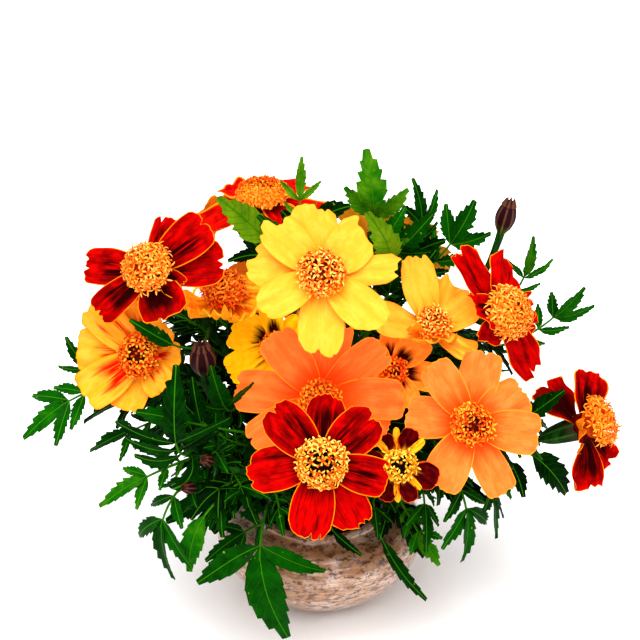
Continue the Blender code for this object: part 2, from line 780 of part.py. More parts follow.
def main():
    """Builds the whole arrangement."""
    green = make_material("leaf_green", LEAF_GREEN, 0.55)
    brown = make_material("bud_brown", BUD_BROWN, 0.6)
    floret = make_material("floret_gold", FLORET_GOLD, 0.7)
    stoneware = make_material("stoneware", STONEWARE, 0.35)
    water = make_material("water", WATER_BLUE, 0.05)
    petal_colours = {"lemon": LEMON, "gold": GOLD, "orange": ORANGE, "red": RED, "maroon": MAROON}
    petals = {colour: make_material("petal_" + name, colour, 0.5) for name, colour in petal_colours.items()}
    for bloom in BLOOMS:
        make_bloom(bloom, petals[bloom.colour], floret, green, brown)
    for spray in SPRAYS:
        make_spray(spray, green, brown)
    turned("bowl", tuple(reversed(BOWL_OUTSIDE + BOWL_INSIDE)), BOWL_STEPS, stoneware)
    make_water([grown.foot for grown in (*BLOOMS, *SPRAYS)], water)


for old in list(bpy.data.objects):
    bpy.data.objects.remove(old)
ARRANGEMENT = bpy.data.collections.new("marigold_bowl")
CUTTERS = bpy.data.collections.new("cutters")
bpy.context.scene.collection.children.link(ARRANGEMENT)
bpy.context.scene.collection.children.link(CUTTERS)
main()
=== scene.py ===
"""The finish of a bouquet of French marigolds in a low round stoneware bowl.

Metres, +Z up, the front of the arrangement faces -Y. The tables give millimetres and degrees.
They repeat the part's own plan of stems, blooms, leaves and buds, so that each finer piece grows
where its plain solid stands.
"""

import logging
import math
from dataclasses import dataclass, field, fields
from enum import Enum
from typing import Callable

import bpy
import numpy as np
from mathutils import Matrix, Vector


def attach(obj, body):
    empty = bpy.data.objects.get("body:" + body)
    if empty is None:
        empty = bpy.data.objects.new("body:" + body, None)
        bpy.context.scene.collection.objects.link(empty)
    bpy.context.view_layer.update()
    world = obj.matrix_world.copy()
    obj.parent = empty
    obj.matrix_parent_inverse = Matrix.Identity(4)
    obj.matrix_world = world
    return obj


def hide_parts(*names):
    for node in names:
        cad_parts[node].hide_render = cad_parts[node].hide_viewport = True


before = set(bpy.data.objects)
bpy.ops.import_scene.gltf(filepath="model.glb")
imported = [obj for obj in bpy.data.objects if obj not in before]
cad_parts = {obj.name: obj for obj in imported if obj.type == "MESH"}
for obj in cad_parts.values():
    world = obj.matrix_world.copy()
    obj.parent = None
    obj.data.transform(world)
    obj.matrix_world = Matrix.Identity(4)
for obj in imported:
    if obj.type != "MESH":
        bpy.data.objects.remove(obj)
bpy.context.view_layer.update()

Array = np.ndarray
Place = tuple[float, float, float]
Colour = tuple[float, float, float, float]
Socket = bpy.types.NodeSocket

LOG = logging.getLogger("marigold_bowl")
MM = 0.001
UP = np.array((0.0, 0.0, 1.0))
ROOT_BODY = "root"
GOLDEN_ANGLE = math.radians(137.508)

# How the stems stand in the bowl, and where the parts of a flower head lie along its axis
RING_RADIUS = {"centre": 0.0, "inner": 8.0, "outer": 16.5}
RING_COUNT = {"centre": 1, "inner": 7, "outer": 13}
FIRST_SLOT_ANGLE = 270.0
STEM_FOOT_HEIGHT = 7.5
STEM_FREE_HEIGHT = 31.5
CALYX_TOP = -1.6
PETAL_ROOT_RADIUS = 2.0
PETAL_TIERS = (-0.65, 0.85, 0.1)
PETAL_TIER_LIFT = 1.8
HEART_HEIGHT = 80.0


class Ring(Enum):
    """The rings on which the stems stand."""

    CENTRE = "centre"
    INNER = "inner"
    OUTER = "outer"


class Petal(Enum):
    """The kinds of ray petal in the bouquet, each with its material slot."""

    LEMON = "petal_lemon"
    ORANGE = "petal_orange"
    RED = "petal_red"
    CRIMSON = "petal_red:edged"
    FLAMED = "petal_gold:flamed"
    MARKED = "petal_gold:marked"
    GOLDEN = "petal_gold:golden"
    RUST = "petal_gold:rust"
    MAROON = "petal_maroon"

    @property
    def slot(self) -> str:
        """The record's material slot that this kind of petal takes its finish from."""
        return self.value.split(":")[0]


class Disc(Enum):
    """The kinds of floret in the middle of a bloom."""

    PEACH = "peach"
    PALE_GOLD = "pale_gold"
    EMBER = "ember"
    ORANGE = "orange"
    RUST = "rust"
    GOLD = "gold"
    YELLOW = "yellow"


@dataclass(frozen=True)
class Leaf:
    """A pinnate leaf, which leaves its stem at a share of the stem. Its blade runs from via to tip."""

    at: float
    via: Place
    tip: Place
    pairs: int
    leaflet: float
    slender: float = 0.32
    face: tuple[float, ...] = ()
    # How light the leaf is painted: its own green together with painted light and shade, low for deep shade,
    # high for a lit leaf with a painted highlight.
    tone: float = 0.3
    lean: float = 48.0
    teeth: float = 0.36
    lower: float = 0.66


@dataclass(frozen=True)
class Bud:
    """A closed bud on a side shoot."""

    name: str
    at: float
    base: Place
    facing: tuple[float, float]
    size: float = 1.0
    plump: float = 1.0


@dataclass(frozen=True)
class PetalStyle:
    """How the petals of one bloom are cut and waved, and how dark, raised and turned each one is."""

    rounding: float = 0.16
    notches: int = 2
    notch_depth: float = 0.05
    scallop: float = 0.012
    ribs: float = 0.26
    ruffle: float = 0.45
    claw: float = 0.2
    fullness: float = 0.62
    twist: float = 0.05
    roll: float = 0.0
    droop: float = 0.0
    cupping: float = 0.0
    darkness: tuple[float, ...] = ()
    tilts: tuple[float, ...] = ()
    turns: tuple[float, ...] = ()
    ends: tuple[tuple[tuple[float, float], ...], ...] = ()


@dataclass(frozen=True)
class DiscStyle:
    """How the florets of one bloom stand."""

    crowd: float = 1.05
    lobe: float = 1.8
    width: float = 0.8
    closed: float = 0.05
    spread: float = 98.0
    sink: float = 0.0
    stretch: float = 0.9


@dataclass(frozen=True)
class Bloom:
    """A flower head on its stem. Each petal is (angle, length, width), an angle of 0 to the right, 90 up."""

    name: str
    centre: Place
    facing: tuple[float, float]
    foot: tuple[Ring, int]
    petals: tuple[tuple[float, float, float], ...]
    head: float
    petal: Petal
    disc: Disc
    lift: float = 5.0
    curl: float = 0.05
    dome: float = 3.0
    waist: float = 3.9
    calyx: float = 12.0
    style: PetalStyle = PetalStyle()
    florets: DiscStyle = DiscStyle()
    leaves: tuple[Leaf, ...] = ()
    buds: tuple[Bud, ...] = ()


@dataclass(frozen=True)
class Spray:
    """A leafy stem with no flower head."""

    name: str
    end: Place
    facing: tuple[float, float]
    foot: tuple[Ring, int]
    leaves: tuple[Leaf, ...]
    buds: tuple[Bud, ...] = ()


def ring_of_petals(count: int, length: float, width: float, first: float = 90.0) -> tuple:
    """Equal petals, evenly spaced."""
    return tuple((first + 360.0 * i / count, length, width) for i in range(count))


# How the ends of single petals are cut: (place across from -1 to 1, share of the length taken off),
# from the side that lies clockwise to the other
LEMON_ENDS = (
    ((-1, 0.2), (-0.75, 0.12), (-0.35, 0.1), (-0.27, 0.12), (-0.18, 0.03), (0.2, 0), (0.6, 0.02),
     (0.8, 0.06), (1, 0.2)),
    ((-1, 0.2), (-0.8, 0.17), (-0.4, 0.19), (-0.17, 0.17), (-0.08, 0.04), (0.1, 0), (0.4, 0.03),
     (0.58, 0.12), (0.8, 0.11), (1, 0.2)),
    ((-1, 0.17), (-0.7, 0.08), (-0.5, 0.14), (-0.2, 0.1), (-0.1, 0.02), (0.1, 0), (0.3, 0.04),
     (0.5, 0.02), (0.8, 0.09), (1, 0.2)),
    ((-1, 0.2), (-0.6, 0.06), (-0.2, 0), (0.3, 0.02), (0.48, 0.06), (0.6, 0.04), (0.8, 0.09),
     (1, 0.2)),
    ((-1, 0.21), (-0.7, 0.08), (-0.4, 0.05), (-0.22, 0.06), (-0.12, 0.13), (0, 0.05), (0.3, 0),
     (0.6, 0.01), (0.72, 0.05), (0.9, 0.12), (1, 0.2)),
    ((-1, 0.23), (-0.6, 0.1), (-0.2, 0.02), (0.2, 0), (0.5, 0.03), (0.75, 0.04), (1, 0.17)),
    ((-1, 0.2), (-0.6, 0.05), (-0.3, 0.1), (-0.1, 0.05), (0.3, 0.06), (0.6, 0), (1, 0.12)),
    ((-1, 0.23), (-0.7, 0.15), (-0.3, 0.14), (0, 0.1), (0.3, 0.08), (0.45, 0.1), (0.6, 0),
     (0.8, 0.04), (1, 0.2)),
)
SCARLET_ENDS = (
    ((-1, 0.2), (-0.8, 0.1), (-0.5, 0.04), (-0.35, 0.06), (-0.2, 0.01), (0.1, 0), (0.3, 0.03),
     (0.45, 0.02), (0.7, 0.07), (0.85, 0.11), (1, 0.2)),
    ((-1, 0.18), (-0.75, 0.06), (-0.3, 0.01), (-0.08, 0.02), (0.02, 0.12), (0.12, 0.03), (0.4, 0.02),
     (0.7, 0.06), (1, 0.2)),
    ((-1, 0.2), (-0.7, 0.08), (-0.45, 0.04), (-0.38, 0.08), (-0.25, 0.01), (0.1, 0), (0.36, 0.03),
     (0.45, 0.11), (0.54, 0.03), (0.8, 0.09), (1, 0.2)),
    ((-1, 0.2), (-0.7, 0.06), (-0.3, 0.02), (0.06, 0), (0.15, 0.1), (0.24, 0.01), (0.5, 0.02),
     (0.58, 0.1), (0.66, 0.03), (1, 0.17)),
    ((-1, 0.2), (-0.7, 0.08), (-0.3, 0.04), (0, 0), (0.1, 0.06), (0.2, 0), (0.35, 0.01),
     (0.45, 0.11), (0.55, 0.02), (0.8, 0.06), (1, 0.17)),
    (),
    ((-1, 0.18), (-0.7, 0.06), (-0.35, 0.02), (-0.1, 0.03), (0, 0.12), (0.12, 0.02), (0.4, 0),
     (0.7, 0.06), (1, 0.18)),
)
CUPPED_ENDS = (
    ((-1, 0.24), (-0.6, 0.2), (-0.35, 0.22), (-0.1, 0.12), (0.05, 0), (0.2, 0.02), (0.32, 0.16),
     (0.7, 0.17), (1, 0.26)),
    ((-1, 0.2), (-0.75, 0.07), (-0.5, 0.05), (-0.38, 0.09), (-0.2, 0.01), (0.3, 0), (0.75, 0.05),
     (1, 0.18)),
)
HIGH_SCARLET_ENDS = (
    ((-1, 0.14), (-0.6, 0.02), (-0.1, 0), (0.1, 0.05), (0.3, 0.02), (0.7, 0.03), (1, 0.12)),
    (),
    (),
    ((-1, 0.2), (-0.6, 0.03), (-0.2, 0), (0.02, 0.14), (0.2, 0.02), (0.6, 0.05), (1, 0.2)),
    ((-1, 0.4), (-0.5, 0.12), (0.1, 0.08), (0.5, 0), (0.75, 0.06), (1, 0.2)),
    (),
    ((-1, 0.5), (-0.6, 0.34), (-0.2, 0.2), (0.2, 0.1), (0.5, 0), (0.65, 0.05), (1, 0.2)),
)

BLOOMS = (
    Bloom(
        "yellow_large", (0.5, -34, 148), (0, 35), (Ring.CENTRE, 0),
        ((97, 23.5, 16), (137, 25.5, 14), (170, 25, 15), (211, 24, 13), (270, 27.5, 15.5),
         (318, 27, 14), (3, 26.5, 10), (42, 21.5, 16)),
        8.0, Petal.LEMON, Disc.PEACH, curl=0.02,
        style=PetalStyle(
            notches=1, notch_depth=0.03, scallop=0.008, ribs=0.24, tilts=(6, 0, -3, 3, -2, 3, 5, 0),
            ends=LEMON_ENDS,
        ),
        florets=DiscStyle(lobe=2.0, width=0.62, closed=0.0, sink=0.7),
        leaves=(
            Leaf(0.5, (-7, 2, 150), (-6, 8, 172), 1, 12, 0.24, (0, 20), 0.75),
            Leaf(0.8, (-11, -10, 147), (-19, -11, 160), 0, 15, 0.36, (10, 20), 0.45),
        ),
    ),
    Bloom(
        "red_front", (0.5, -60, 92), (0, 29), (Ring.OUTER, 0),
        ((87, 23, 13.5), (132, 25, 15), (186, 25, 15.5), (259, 25.5, 15), (299, 25, 15),
         (344, 22.5, 13.5), (42, 24, 15.5)),
        8.8, Petal.RED, Disc.PALE_GOLD, lift=3, curl=0.0,
        style=PetalStyle(
            notches=1, notch_depth=0.03, ribs=0.32, darkness=(0.85, 0.75, 0.55, 0.35, 0.3, 0.6, 0.7),
            ends=SCARLET_ENDS,
        ),
        florets=DiscStyle(crowd=0.95, lobe=2.1, width=0.72, closed=0.05, sink=1.8),
        leaves=(
            Leaf(0.2, (3, -36, 50), (14, -43, 40), 0, 11, 0.26, (), 0.0),
        ),
    ),
    Bloom(
        "orange_right", (50.5, -44, 97), (6, 29), (Ring.OUTER, 2),
        ((78, 25, 14.5), (121, 25.8, 12.5), (168, 22.5, 14.5), (237, 24, 15), (291, 26.5, 12),
         (347, 23, 15), (30, 21, 14.5)),
        8.0, Petal.ORANGE, Disc.EMBER, curl=0.03,
        style=PetalStyle(notches=2, notch_depth=0.035, scallop=0.012, tilts=(4, 8, 0, -3, -6, 3, 0)),
        florets=DiscStyle(lobe=1.9, width=0.66, closed=0.07, sink=0.9, stretch=0.82),
        leaves=(
            Leaf(0.65, (49, -41, 68), (52.5, -47, 41), 2, 17),
            Leaf(0.5, (36, -38, 66), (36, -52, 50), 1, 13),
            Leaf(0.8, (57, -32, 76), (68, -36, 60), 2, 14),
            Leaf(0.3, (28, -27, 50), (38, -34, 34), 1, 20, 0.42, (), -0.1, lower=0.3),
        ),
    ),
    Bloom(
        "orange_back", (0, -29, 98), (0, 18), (Ring.INNER, 0),
        ((78, 28, 12.5), (124, 29, 14.5), (171, 29.5, 15.5), (213, 28, 15), (335, 26, 15),
         (4, 29, 15), (43, 29.5, 13.5)),
        8.0, Petal.ORANGE, Disc.EMBER, curl=0.02,
        style=PetalStyle(ribs=0.4, tilts=(0, 3, 0, 0, 0, 2, 5)),
        florets=DiscStyle(stretch=0.84),
    ),
    Bloom(
        "yellow_right", (38.6, -17, 118.5), (4, 56), (Ring.INNER, 2),
        ((70, 20, 15), (106, 25, 13), (172, 20.5, 13), (203, 13, 8), (271, 13, 15.5), (309, 19, 7.5),
         (24, 17, 13)),
        6.2, Petal.LEMON, Disc.PEACH, lift=6, curl=0.22, dome=2.4, waist=4.4,
        style=PetalStyle(
            notches=1, notch_depth=0.04, ruffle=0.9, ribs=0.5, tilts=(8, 10, 4, 24, 34, 0, 8),
            turns=(0, 0, 0, 70, 0, 45, 0), ends=CUPPED_ENDS,
        ),
        florets=DiscStyle(lobe=1.9, width=0.62, closed=0.0),
    ),
    Bloom(
        "red_left", (-56, -23, 144), (-16, 38), (Ring.OUTER, 9),
        ((182, 25, 13.5), (226, 24, 12), (300, 18.5, 17), (338, 13, 9), (13, 24.5, 15.5),
         (47, 24.5, 15), (84, 19, 9)),
        8.6, Petal.RED, Disc.GOLD, lift=1, curl=-0.04, dome=4.6,
        style=PetalStyle(
            notches=2, notch_depth=0.07, ribs=0.4, droop=0.03,
            darkness=(0.7, 0.9, 0.9, 0.8, 0.65, 0.5, 0.6), tilts=(0, -4, 16, 0, 0, 4, 0),
        ),
        florets=DiscStyle(crowd=1.15, lobe=2.3, width=0.66, closed=0.03),
        leaves=(
            Leaf(0.65, (-49, -31, 120), (-62, -36, 132), 0, 15, 0.3, (-10, 40)),
            Leaf(0.5, (-48, 16, 110), (-74, 18, 118), 2, 15),
        ),
    ),
    Bloom(
        "red_right", (61.5, -17, 124.5), (38, 28), (Ring.OUTER, 4),
        ((106, 26.5, 13), (160, 13.5, 16), (222, 11.5, 9.5), (290, 27, 15), (328, 21, 13),
         (354, 16, 11), (50, 23, 17)),
        9.2, Petal.RED, Disc.GOLD, lift=-4, curl=-0.08, dome=4.8, waist=4.6,
        style=PetalStyle(
            notches=2, notch_depth=0.06, scallop=0.02, ribs=0.5, ruffle=0.9, twist=0.1,
            darkness=(0.45, 0.5, 0.4, 0.5, 0.4, 0.4, 0.4), tilts=(4, 20, 10, 0, 0, 0, 4),
            turns=(0, 35, 20, 0, 0, 0, 0), ends=HIGH_SCARLET_ENDS,
        ),
        florets=DiscStyle(crowd=1.25, lobe=2.6, width=0.66, closed=0.0),
        leaves=(
            Leaf(0.65, (79, 8, 105), (93, 5, 125), 2, 14, 0.3, (20, 20), 0.45),
            Leaf(0.8, (70, 14, 116), (75, 11, 141), 1, 14, 0.22, (0, 20), 0.55),
        ),
        buds=(Bud("bud_top", 0.65, (63.2, 6, 144.5), (80, 78)),),
    ),
    Bloom(
        "red_far_right", (94, -12, 76), (70, 30), (Ring.OUTER, 3),
        ((90, 21, 13), (44, 21, 14), (178, 12, 12), (238, 23, 13), (286, 21, 12), (336, 17, 11)),
        7.6, Petal.RED, Disc.ORANGE, lift=-4, curl=-0.06, dome=4.6, waist=6.6, calyx=15,
        style=PetalStyle(
            notches=3, notch_depth=0.08, scallop=0.02, ribs=0.5, ruffle=1.0, twist=0.12,
            darkness=(1.1, 0.9, 0.8, 0.9, 0.8, 0.7), tilts=(-8, 26, 30, -6, 12, 0),
            turns=(-50, -45, -30, 55, 48, 0),
        ),
        florets=DiscStyle(lobe=2.8, width=0.66, closed=0.0, stretch=1.15),
        leaves=(
            Leaf(0.65, (73, -14, 80), (87, -19, 92), 0, 18, 0.36, (0, 50), 0.2),
            Leaf(0.8, (77, -16, 66), (91, -19, 50), 0, 18.5, 0.46, (10, 38), 0.15),
            Leaf(0.5, (68, -16, 64), (72, -24, 53), 0, 11.5, 0.42, (0, 38), 0.05),
            Leaf(0.35, (52, 22, 72), (74, 30, 74), 2, 15),
        ),
    ),
    Bloom(
        "top_orange", (-20.5, 27, 147), (0, 82), (Ring.INNER, 4),
        ((180, 16, 13), (212, 26, 14), (262, 17, 13), (308, 19, 13), (356, 26, 13), (46, 22, 13),
         (92, 22, 13), (136, 20, 13)),
        9.2, Petal.CRIMSON, Disc.ORANGE, lift=-4, curl=-0.1, dome=2.2, waist=3.2,
        style=PetalStyle(notches=2, notch_depth=0.06, ribs=0.5, ruffle=0.8),
        florets=DiscStyle(crowd=1.5, lobe=1.5, width=0.95, closed=0.0, stretch=0.98),
    ),
    Bloom(
        "half_open", (-33, -4, 124), (-6, 64), (Ring.INNER, 5),
        ((92, 16.5, 10.5), (139, 15.5, 10), (211, 15.5, 10.5), (262, 16.5, 10.5),
         (313, 16.5, 10.5), (2, 16.5, 10.5), (47, 16.5, 10)),
        7.4, Petal.RUST, Disc.RUST, lift=0, curl=-0.05, dome=5,
        style=PetalStyle(
            notches=1, notch_depth=0.05, scallop=0.03, ribs=0.6, ruffle=1.6, twist=0.1, cupping=0.72,
        ),
        florets=DiscStyle(crowd=1.6, lobe=2.8, width=0.7, closed=0.0, stretch=0.94),
        leaves=(
            Leaf(0.65, (-32, -30, 94), (-35, -41, 117), 1, 19, 0.3, (0, 30)),
            Leaf(0.35, (-36, -33, 87), (-47, -36, 102), 1, 15, 0.36, (0, 40)),
            Leaf(0.2, (-34, -20, 54), (-56, -30, 50), 1, 19, 0.38),
        ),
        buds=(Bud("bud_left", 0.5, (-39.4, -30, 108.5), (-10, 80), 1.0, 1.28),),
    ),
    Bloom(
        "bicolor_left", (-60.5, -25, 113), (-14, 27), (Ring.OUTER, 10),
        ((181, 23, 15.5), (144, 24, 14), (107, 19, 12), (222, 24, 15.5), (262, 20, 13),
         (312, 15, 12), (0, 14, 12), (52, 14, 12)),
        7.6, Petal.FLAMED, Disc.EMBER, lift=6, curl=0.05,
        style=PetalStyle(notches=1, notch_depth=0.05, ruffle=0.6),
        leaves=(
            Leaf(0.8, (-82, -22, 96), (-105, -26, 82), 2, 17, 0.32, (-30, 40), 0.4),
            Leaf(0.65, (-79, -12, 98), (-86, -19, 116), 1, 13, 0.26, (0, 30), 0.4),
            Leaf(0.5, (-60, -22, 84), (-81, -20, 70), 1, 15, 0.3),
            Leaf(0.5, (-52, 20, 82), (-74, 30, 86), 2, 15),
        ),
    ),
    Bloom(
        "golden_mid", (-15, -9, 107.5), (-14, 26), (Ring.INNER, 6),
        ((163, 17.5, 15), (214, 19.5, 11.5), (240, 16, 9), (104, 19, 9), (50, 13, 10), (300, 13, 10),
         (0, 13, 10)),
        5.8, Petal.GOLDEN, Disc.EMBER, lift=6, curl=0.05,
        # The upward petal's darkness of 1.6 thickens its dark marks, partly its own blotch and partly painted
        # shade where it lies under the other blooms.
        style=PetalStyle(darkness=(0.8, 0.2, 0.2, 1.6, 0.8, 0.5, 0.5)),
        florets=DiscStyle(stretch=0.66),
        leaves=(
            Leaf(0.35, (-26, -30, 62), (-40, -44, 56), 1, 18, 0.38),
        ),
    ),
    Bloom(
        "bicolor_mid", (25, -20, 104), (10, 27), (Ring.INNER, 1),
        ((88, 16, 9.5), (45, 16, 11.5), (345, 18.5, 10.5), (135, 13, 9), (232, 11, 8),
         (286, 14, 11.5)),
        5.4, Petal.MARKED, Disc.EMBER, lift=8, curl=0.1, dome=2.4,
        style=PetalStyle(rounding=0.3, notches=1, ruffle=0.7, tilts=(10, 6, 4, 0, 0, 0)),
        florets=DiscStyle(lobe=1.6, width=0.6, stretch=0.74),
    ),
    Bloom(
        "dark_small", (25.5, -57.5, 89.7), (6, 27), (Ring.OUTER, 1),
        ((110, 11, 5), (66, 13, 7), (335, 14.5, 9.5), (288, 13, 6), (246, 13, 6.5), (204, 11, 4.5),
         (160, 11, 4.5), (128, 12, 2.4), (90, 12.5, 2.6), (42, 12, 3), (267, 12.5, 2.6), (182, 12.5, 3),
         (226, 10, 2.4), (310, 11, 2.4)),
        5.4, Petal.MAROON, Disc.YELLOW, lift=8, curl=0.05, dome=2.6,
        style=PetalStyle(
            rounding=0.4, notches=1, notch_depth=0.05, claw=0.3, fullness=1.9, roll=1.0,
            turns=(0, 0, 0, 0, 0, 0, 0, 180, 180, 180, 180, 180, 180, 180),
        ),
        florets=DiscStyle(crowd=0.85, lobe=1.9, width=0.7, closed=0.0, sink=0.5, stretch=0.94),
        leaves=(
            Leaf(0.5, (20, -44, 54), (38.5, -52, 28), 0, 24, 0.17, (40, 30), 0.05),
        ),
    ),
    Bloom(
        "red_behind", (-52, 40, 122), (238, 30), (Ring.OUTER, 8), ring_of_petals(7, 24, 14, 80),
        8.4, Petal.RED, Disc.PALE_GOLD, lift=2, curl=-0.02, dome=4,
        leaves=(
            Leaf(0.65, (-48, 34, 96), (-66, 44, 92), 2, 16),
        ),
    ),
    Bloom(
        "yellow_behind", (26, 42, 120), (158, 34), (Ring.OUTER, 5), ring_of_petals(8, 25, 14.5),
        8.0, Petal.LEMON, Disc.PEACH, curl=0.03,
        leaves=(
            Leaf(0.5, (42, 38, 90), (58, 52, 82), 2, 17),
        ),
    ),
    Bloom(
        "orange_behind", (-14, 54, 98), (196, 20), (Ring.OUTER, 7), ring_of_petals(7, 25, 15),
        8.0, Petal.ORANGE, Disc.EMBER, curl=0.03,
        leaves=(
            Leaf(0.5, (-24, 42, 62), (-30, 56, 44), 2, 17),
            Leaf(0.3, (10, 42, 56), (18, 56, 40), 2, 17),
        ),
    ),
)

SPRAYS = (
    Spray(
        "spray_left", (-45, -36, 84), (-30, 50), (Ring.OUTER, 11),
        (
            Leaf(0.93, (-46.7, -47, 87), (-47.5, -46, 121), 3, 20, 0.36, (0, 28), 0.15, 70),
            Leaf(0.65, (-50, -43, 68), (-56, -47, 34), 2, 19),
            Leaf(0.8, (-58, -43, 76), (-75, -45, 66), 1, 15, 0.32, (), 0.55),
        ),
        (Bud("bud_low", 0.5, (-43, -45, 72), (-30, 30), 0.6),),
    ),
    Spray(
        "spray_front", (-26, -44, 78), (-20, 40), (Ring.OUTER, 12),
        (
            Leaf(0.5, (-20.5, -50, 53), (-15, -60, 13), 1, 33, 0.33, (0, 20), 0.36, 56, 0.15, 0.3),
            Leaf(0.8, (-39, -49, 64), (-47, -54, 42), 0, 19, 0.34, (0, 25), 0.62),
            Leaf(0.2, (-28, -30, 42), (-42, -36, 36), 1, 14),
        ),
        (Bud("bud_side", 0.93, (-37, -46, 83), (-20, 40), 0.6),),
    ),
    Spray(
        "spray_top", (18, 6, 144), (-10, 80), (Ring.INNER, 3),
        (
            Leaf(1.0, (18.5, 3, 150), (18.2, 6, 176.5), 1, 20, 0.42, (0, 24), 0.62),
            Leaf(0.8, (24, -8, 142), (16.5, -13, 162), 0, 20, 0.4, (0, 24), 0.95),
            Leaf(0.65, (38, 10, 128), (55, 12, 153), 2, 14, 0.44, (0, 30), 0.4, 40, 0.5),
            Leaf(0.8, (32, 15, 132), (33.5, 16, 160), 2, 12, 0.3, (20, 20), 0.35, 40),
        ),
    ),
)


# Leaves that only the finish adds, by the stem that carries them
EXTRA_LEAVES = {
    "yellow_large": (
        Leaf(0.8, (-17, -7, 146), (-32, -13, 164), 0, 19, 0.46, (-10, 30), 0.78, 48, 0.25),
        Leaf(0.8, (-4, -13, 147), (-12, -14, 162), 0, 15, 0.5, (0, 30), 0.02, 48, 0.2),
        Leaf(0.8, (0, -9, 156), (10, -13, 163), 0, 12, 0.5, (0, 40), 0.04, 48, 0.2),
        Leaf(0.6, (-18, 0, 138), (-33, 4, 136), 0, 13, 0.3, (0, 40), 0.0, 48, 0.3),
        Leaf(0.5, (-16, 8, 130), (-28, 14, 143), 1, 11, 0.4, (0, 30), 0.0, 48, 0.3),
    ),
    "half_open": (
        Leaf(0.35, (-43, -42, 96), (-61, -45, 103), 0, 17, 0.36, (0, 30), 0.3, 48, 0.25),
        Leaf(0.4, (-43, -40, 99), (-50, -43, 114), 0, 14, 0.34, (0, 30), 0.05, 48, 0.3),
        Leaf(0.35, (-40, -38, 92), (-42, -40, 112), 0, 15, 0.3, (0, 30), 0.1, 48, 0.3),
    ),
    "orange_right": (
        Leaf(0.3, (34, -42, 52), (40, -50, 42), 1, 11, 0.42, (0, 30), 0.6, 48, 0.5),
    ),
    "spray_top": (
        Leaf(0.8, (26, 2, 138), (40, -2, 152), 1, 15, 0.44, (10, 28), 0.34, 44, 0.5),
        Leaf(0.65, (30, -2, 128), (42, -4, 141), 1, 13, 0.42, (0, 30), 0.2, 44, 0.4),
        Leaf(0.93, (22, -2, 146), (29, -4, 158), 1, 13, 0.4, (0, 26), 0.55, 40, 0.4),
        Leaf(0.5, (24, -4, 126), (24, -12, 141), 1, 14, 0.4, (0, 30), 0.1, 48, 0.3),
        Leaf(0.6, (30, 8, 134), (44, 4, 142), 1, 14, 0.42, (0, 26), 0.1, 52, 0.4),
        Leaf(0.6, (22, 4, 134), (20, -2, 152), 1, 12, 0.42, (0, 26), 0.05, 52, 0.4),
    ),
}


def unit(vector: Array) -> Array:
    """The vector, or each row of an array of vectors, brought to length one."""
    return vector / np.linalg.norm(vector, axis=-1, keepdims=True)


def heading(azimuth: float, elevation: float) -> Array:
    """The unit vector that faces an azimuth (0 to the front, 90 to the right) and an elevation."""
    turn, rise = math.radians(azimuth), math.radians(elevation)
    return np.array((math.sin(turn) * math.cos(rise), -math.cos(turn) * math.cos(rise), math.sin(rise)))


def bezier(controls: Array, shares: Array) -> Array:
    """Points on a Bezier curve of any degree.

    Args:
        controls: its control points, a row each.
        shares: the parameters to read it at.

    Returns:
        A row for each share.
    """
    points = [np.asarray(control, float)[None, :] for control in controls]
    share = np.asarray(shares, float).reshape(-1, 1)
    while len(points) > 1:
        points = [a * (1 - share) + b * share for a, b in zip(points, points[1:])]
    return points[0]


def eased(low: float, high: float, values: Array) -> Array:
    """A smooth rise from 0 at low to 1 at high."""
    share = np.clip((values - low) / (high - low), 0, 1)
    return share * share * (3 - 2 * share)


def foot_place(foot: tuple[Ring, int]) -> Array:
    """Where a stem stands on its ring.

    Args:
        foot: the ring, and which place on it.

    Returns:
        The place, in millimetres.
    """
    ring, slot = foot
    angle = math.radians(FIRST_SLOT_ANGLE + 360.0 * slot / RING_COUNT[ring.value])
    return np.array((math.cos(angle), math.sin(angle), 0.0)) * RING_RADIUS[ring.value]


def smooth_profile(points: tuple[tuple[float, float], ...], steps: int) -> Array:
    """A smooth curve through the points of a half section.

    Args:
        points: (radius, height) or (share, radius) pairs in order.
        steps: how many pieces each span is cut into.

    Returns:
        The pairs along the curve, a row each.
    """
    knots = np.array(points, float)
    padded = np.vstack((2 * knots[0] - knots[1], knots, 2 * knots[-1] - knots[-2]))
    rows = []
    for before, start, end, after in zip(padded, padded[1:], padded[2:], padded[3:]):
        for step in range(steps):
            t = step / steps
            rows.append(0.5 * (
                2 * start + (end - before) * t + (2 * before - 5 * start + 4 * end - after) * t * t
                + (3 * start - before - 3 * end + after) * t ** 3
            ))
    rows.append(knots[-1])
    return np.array(rows)


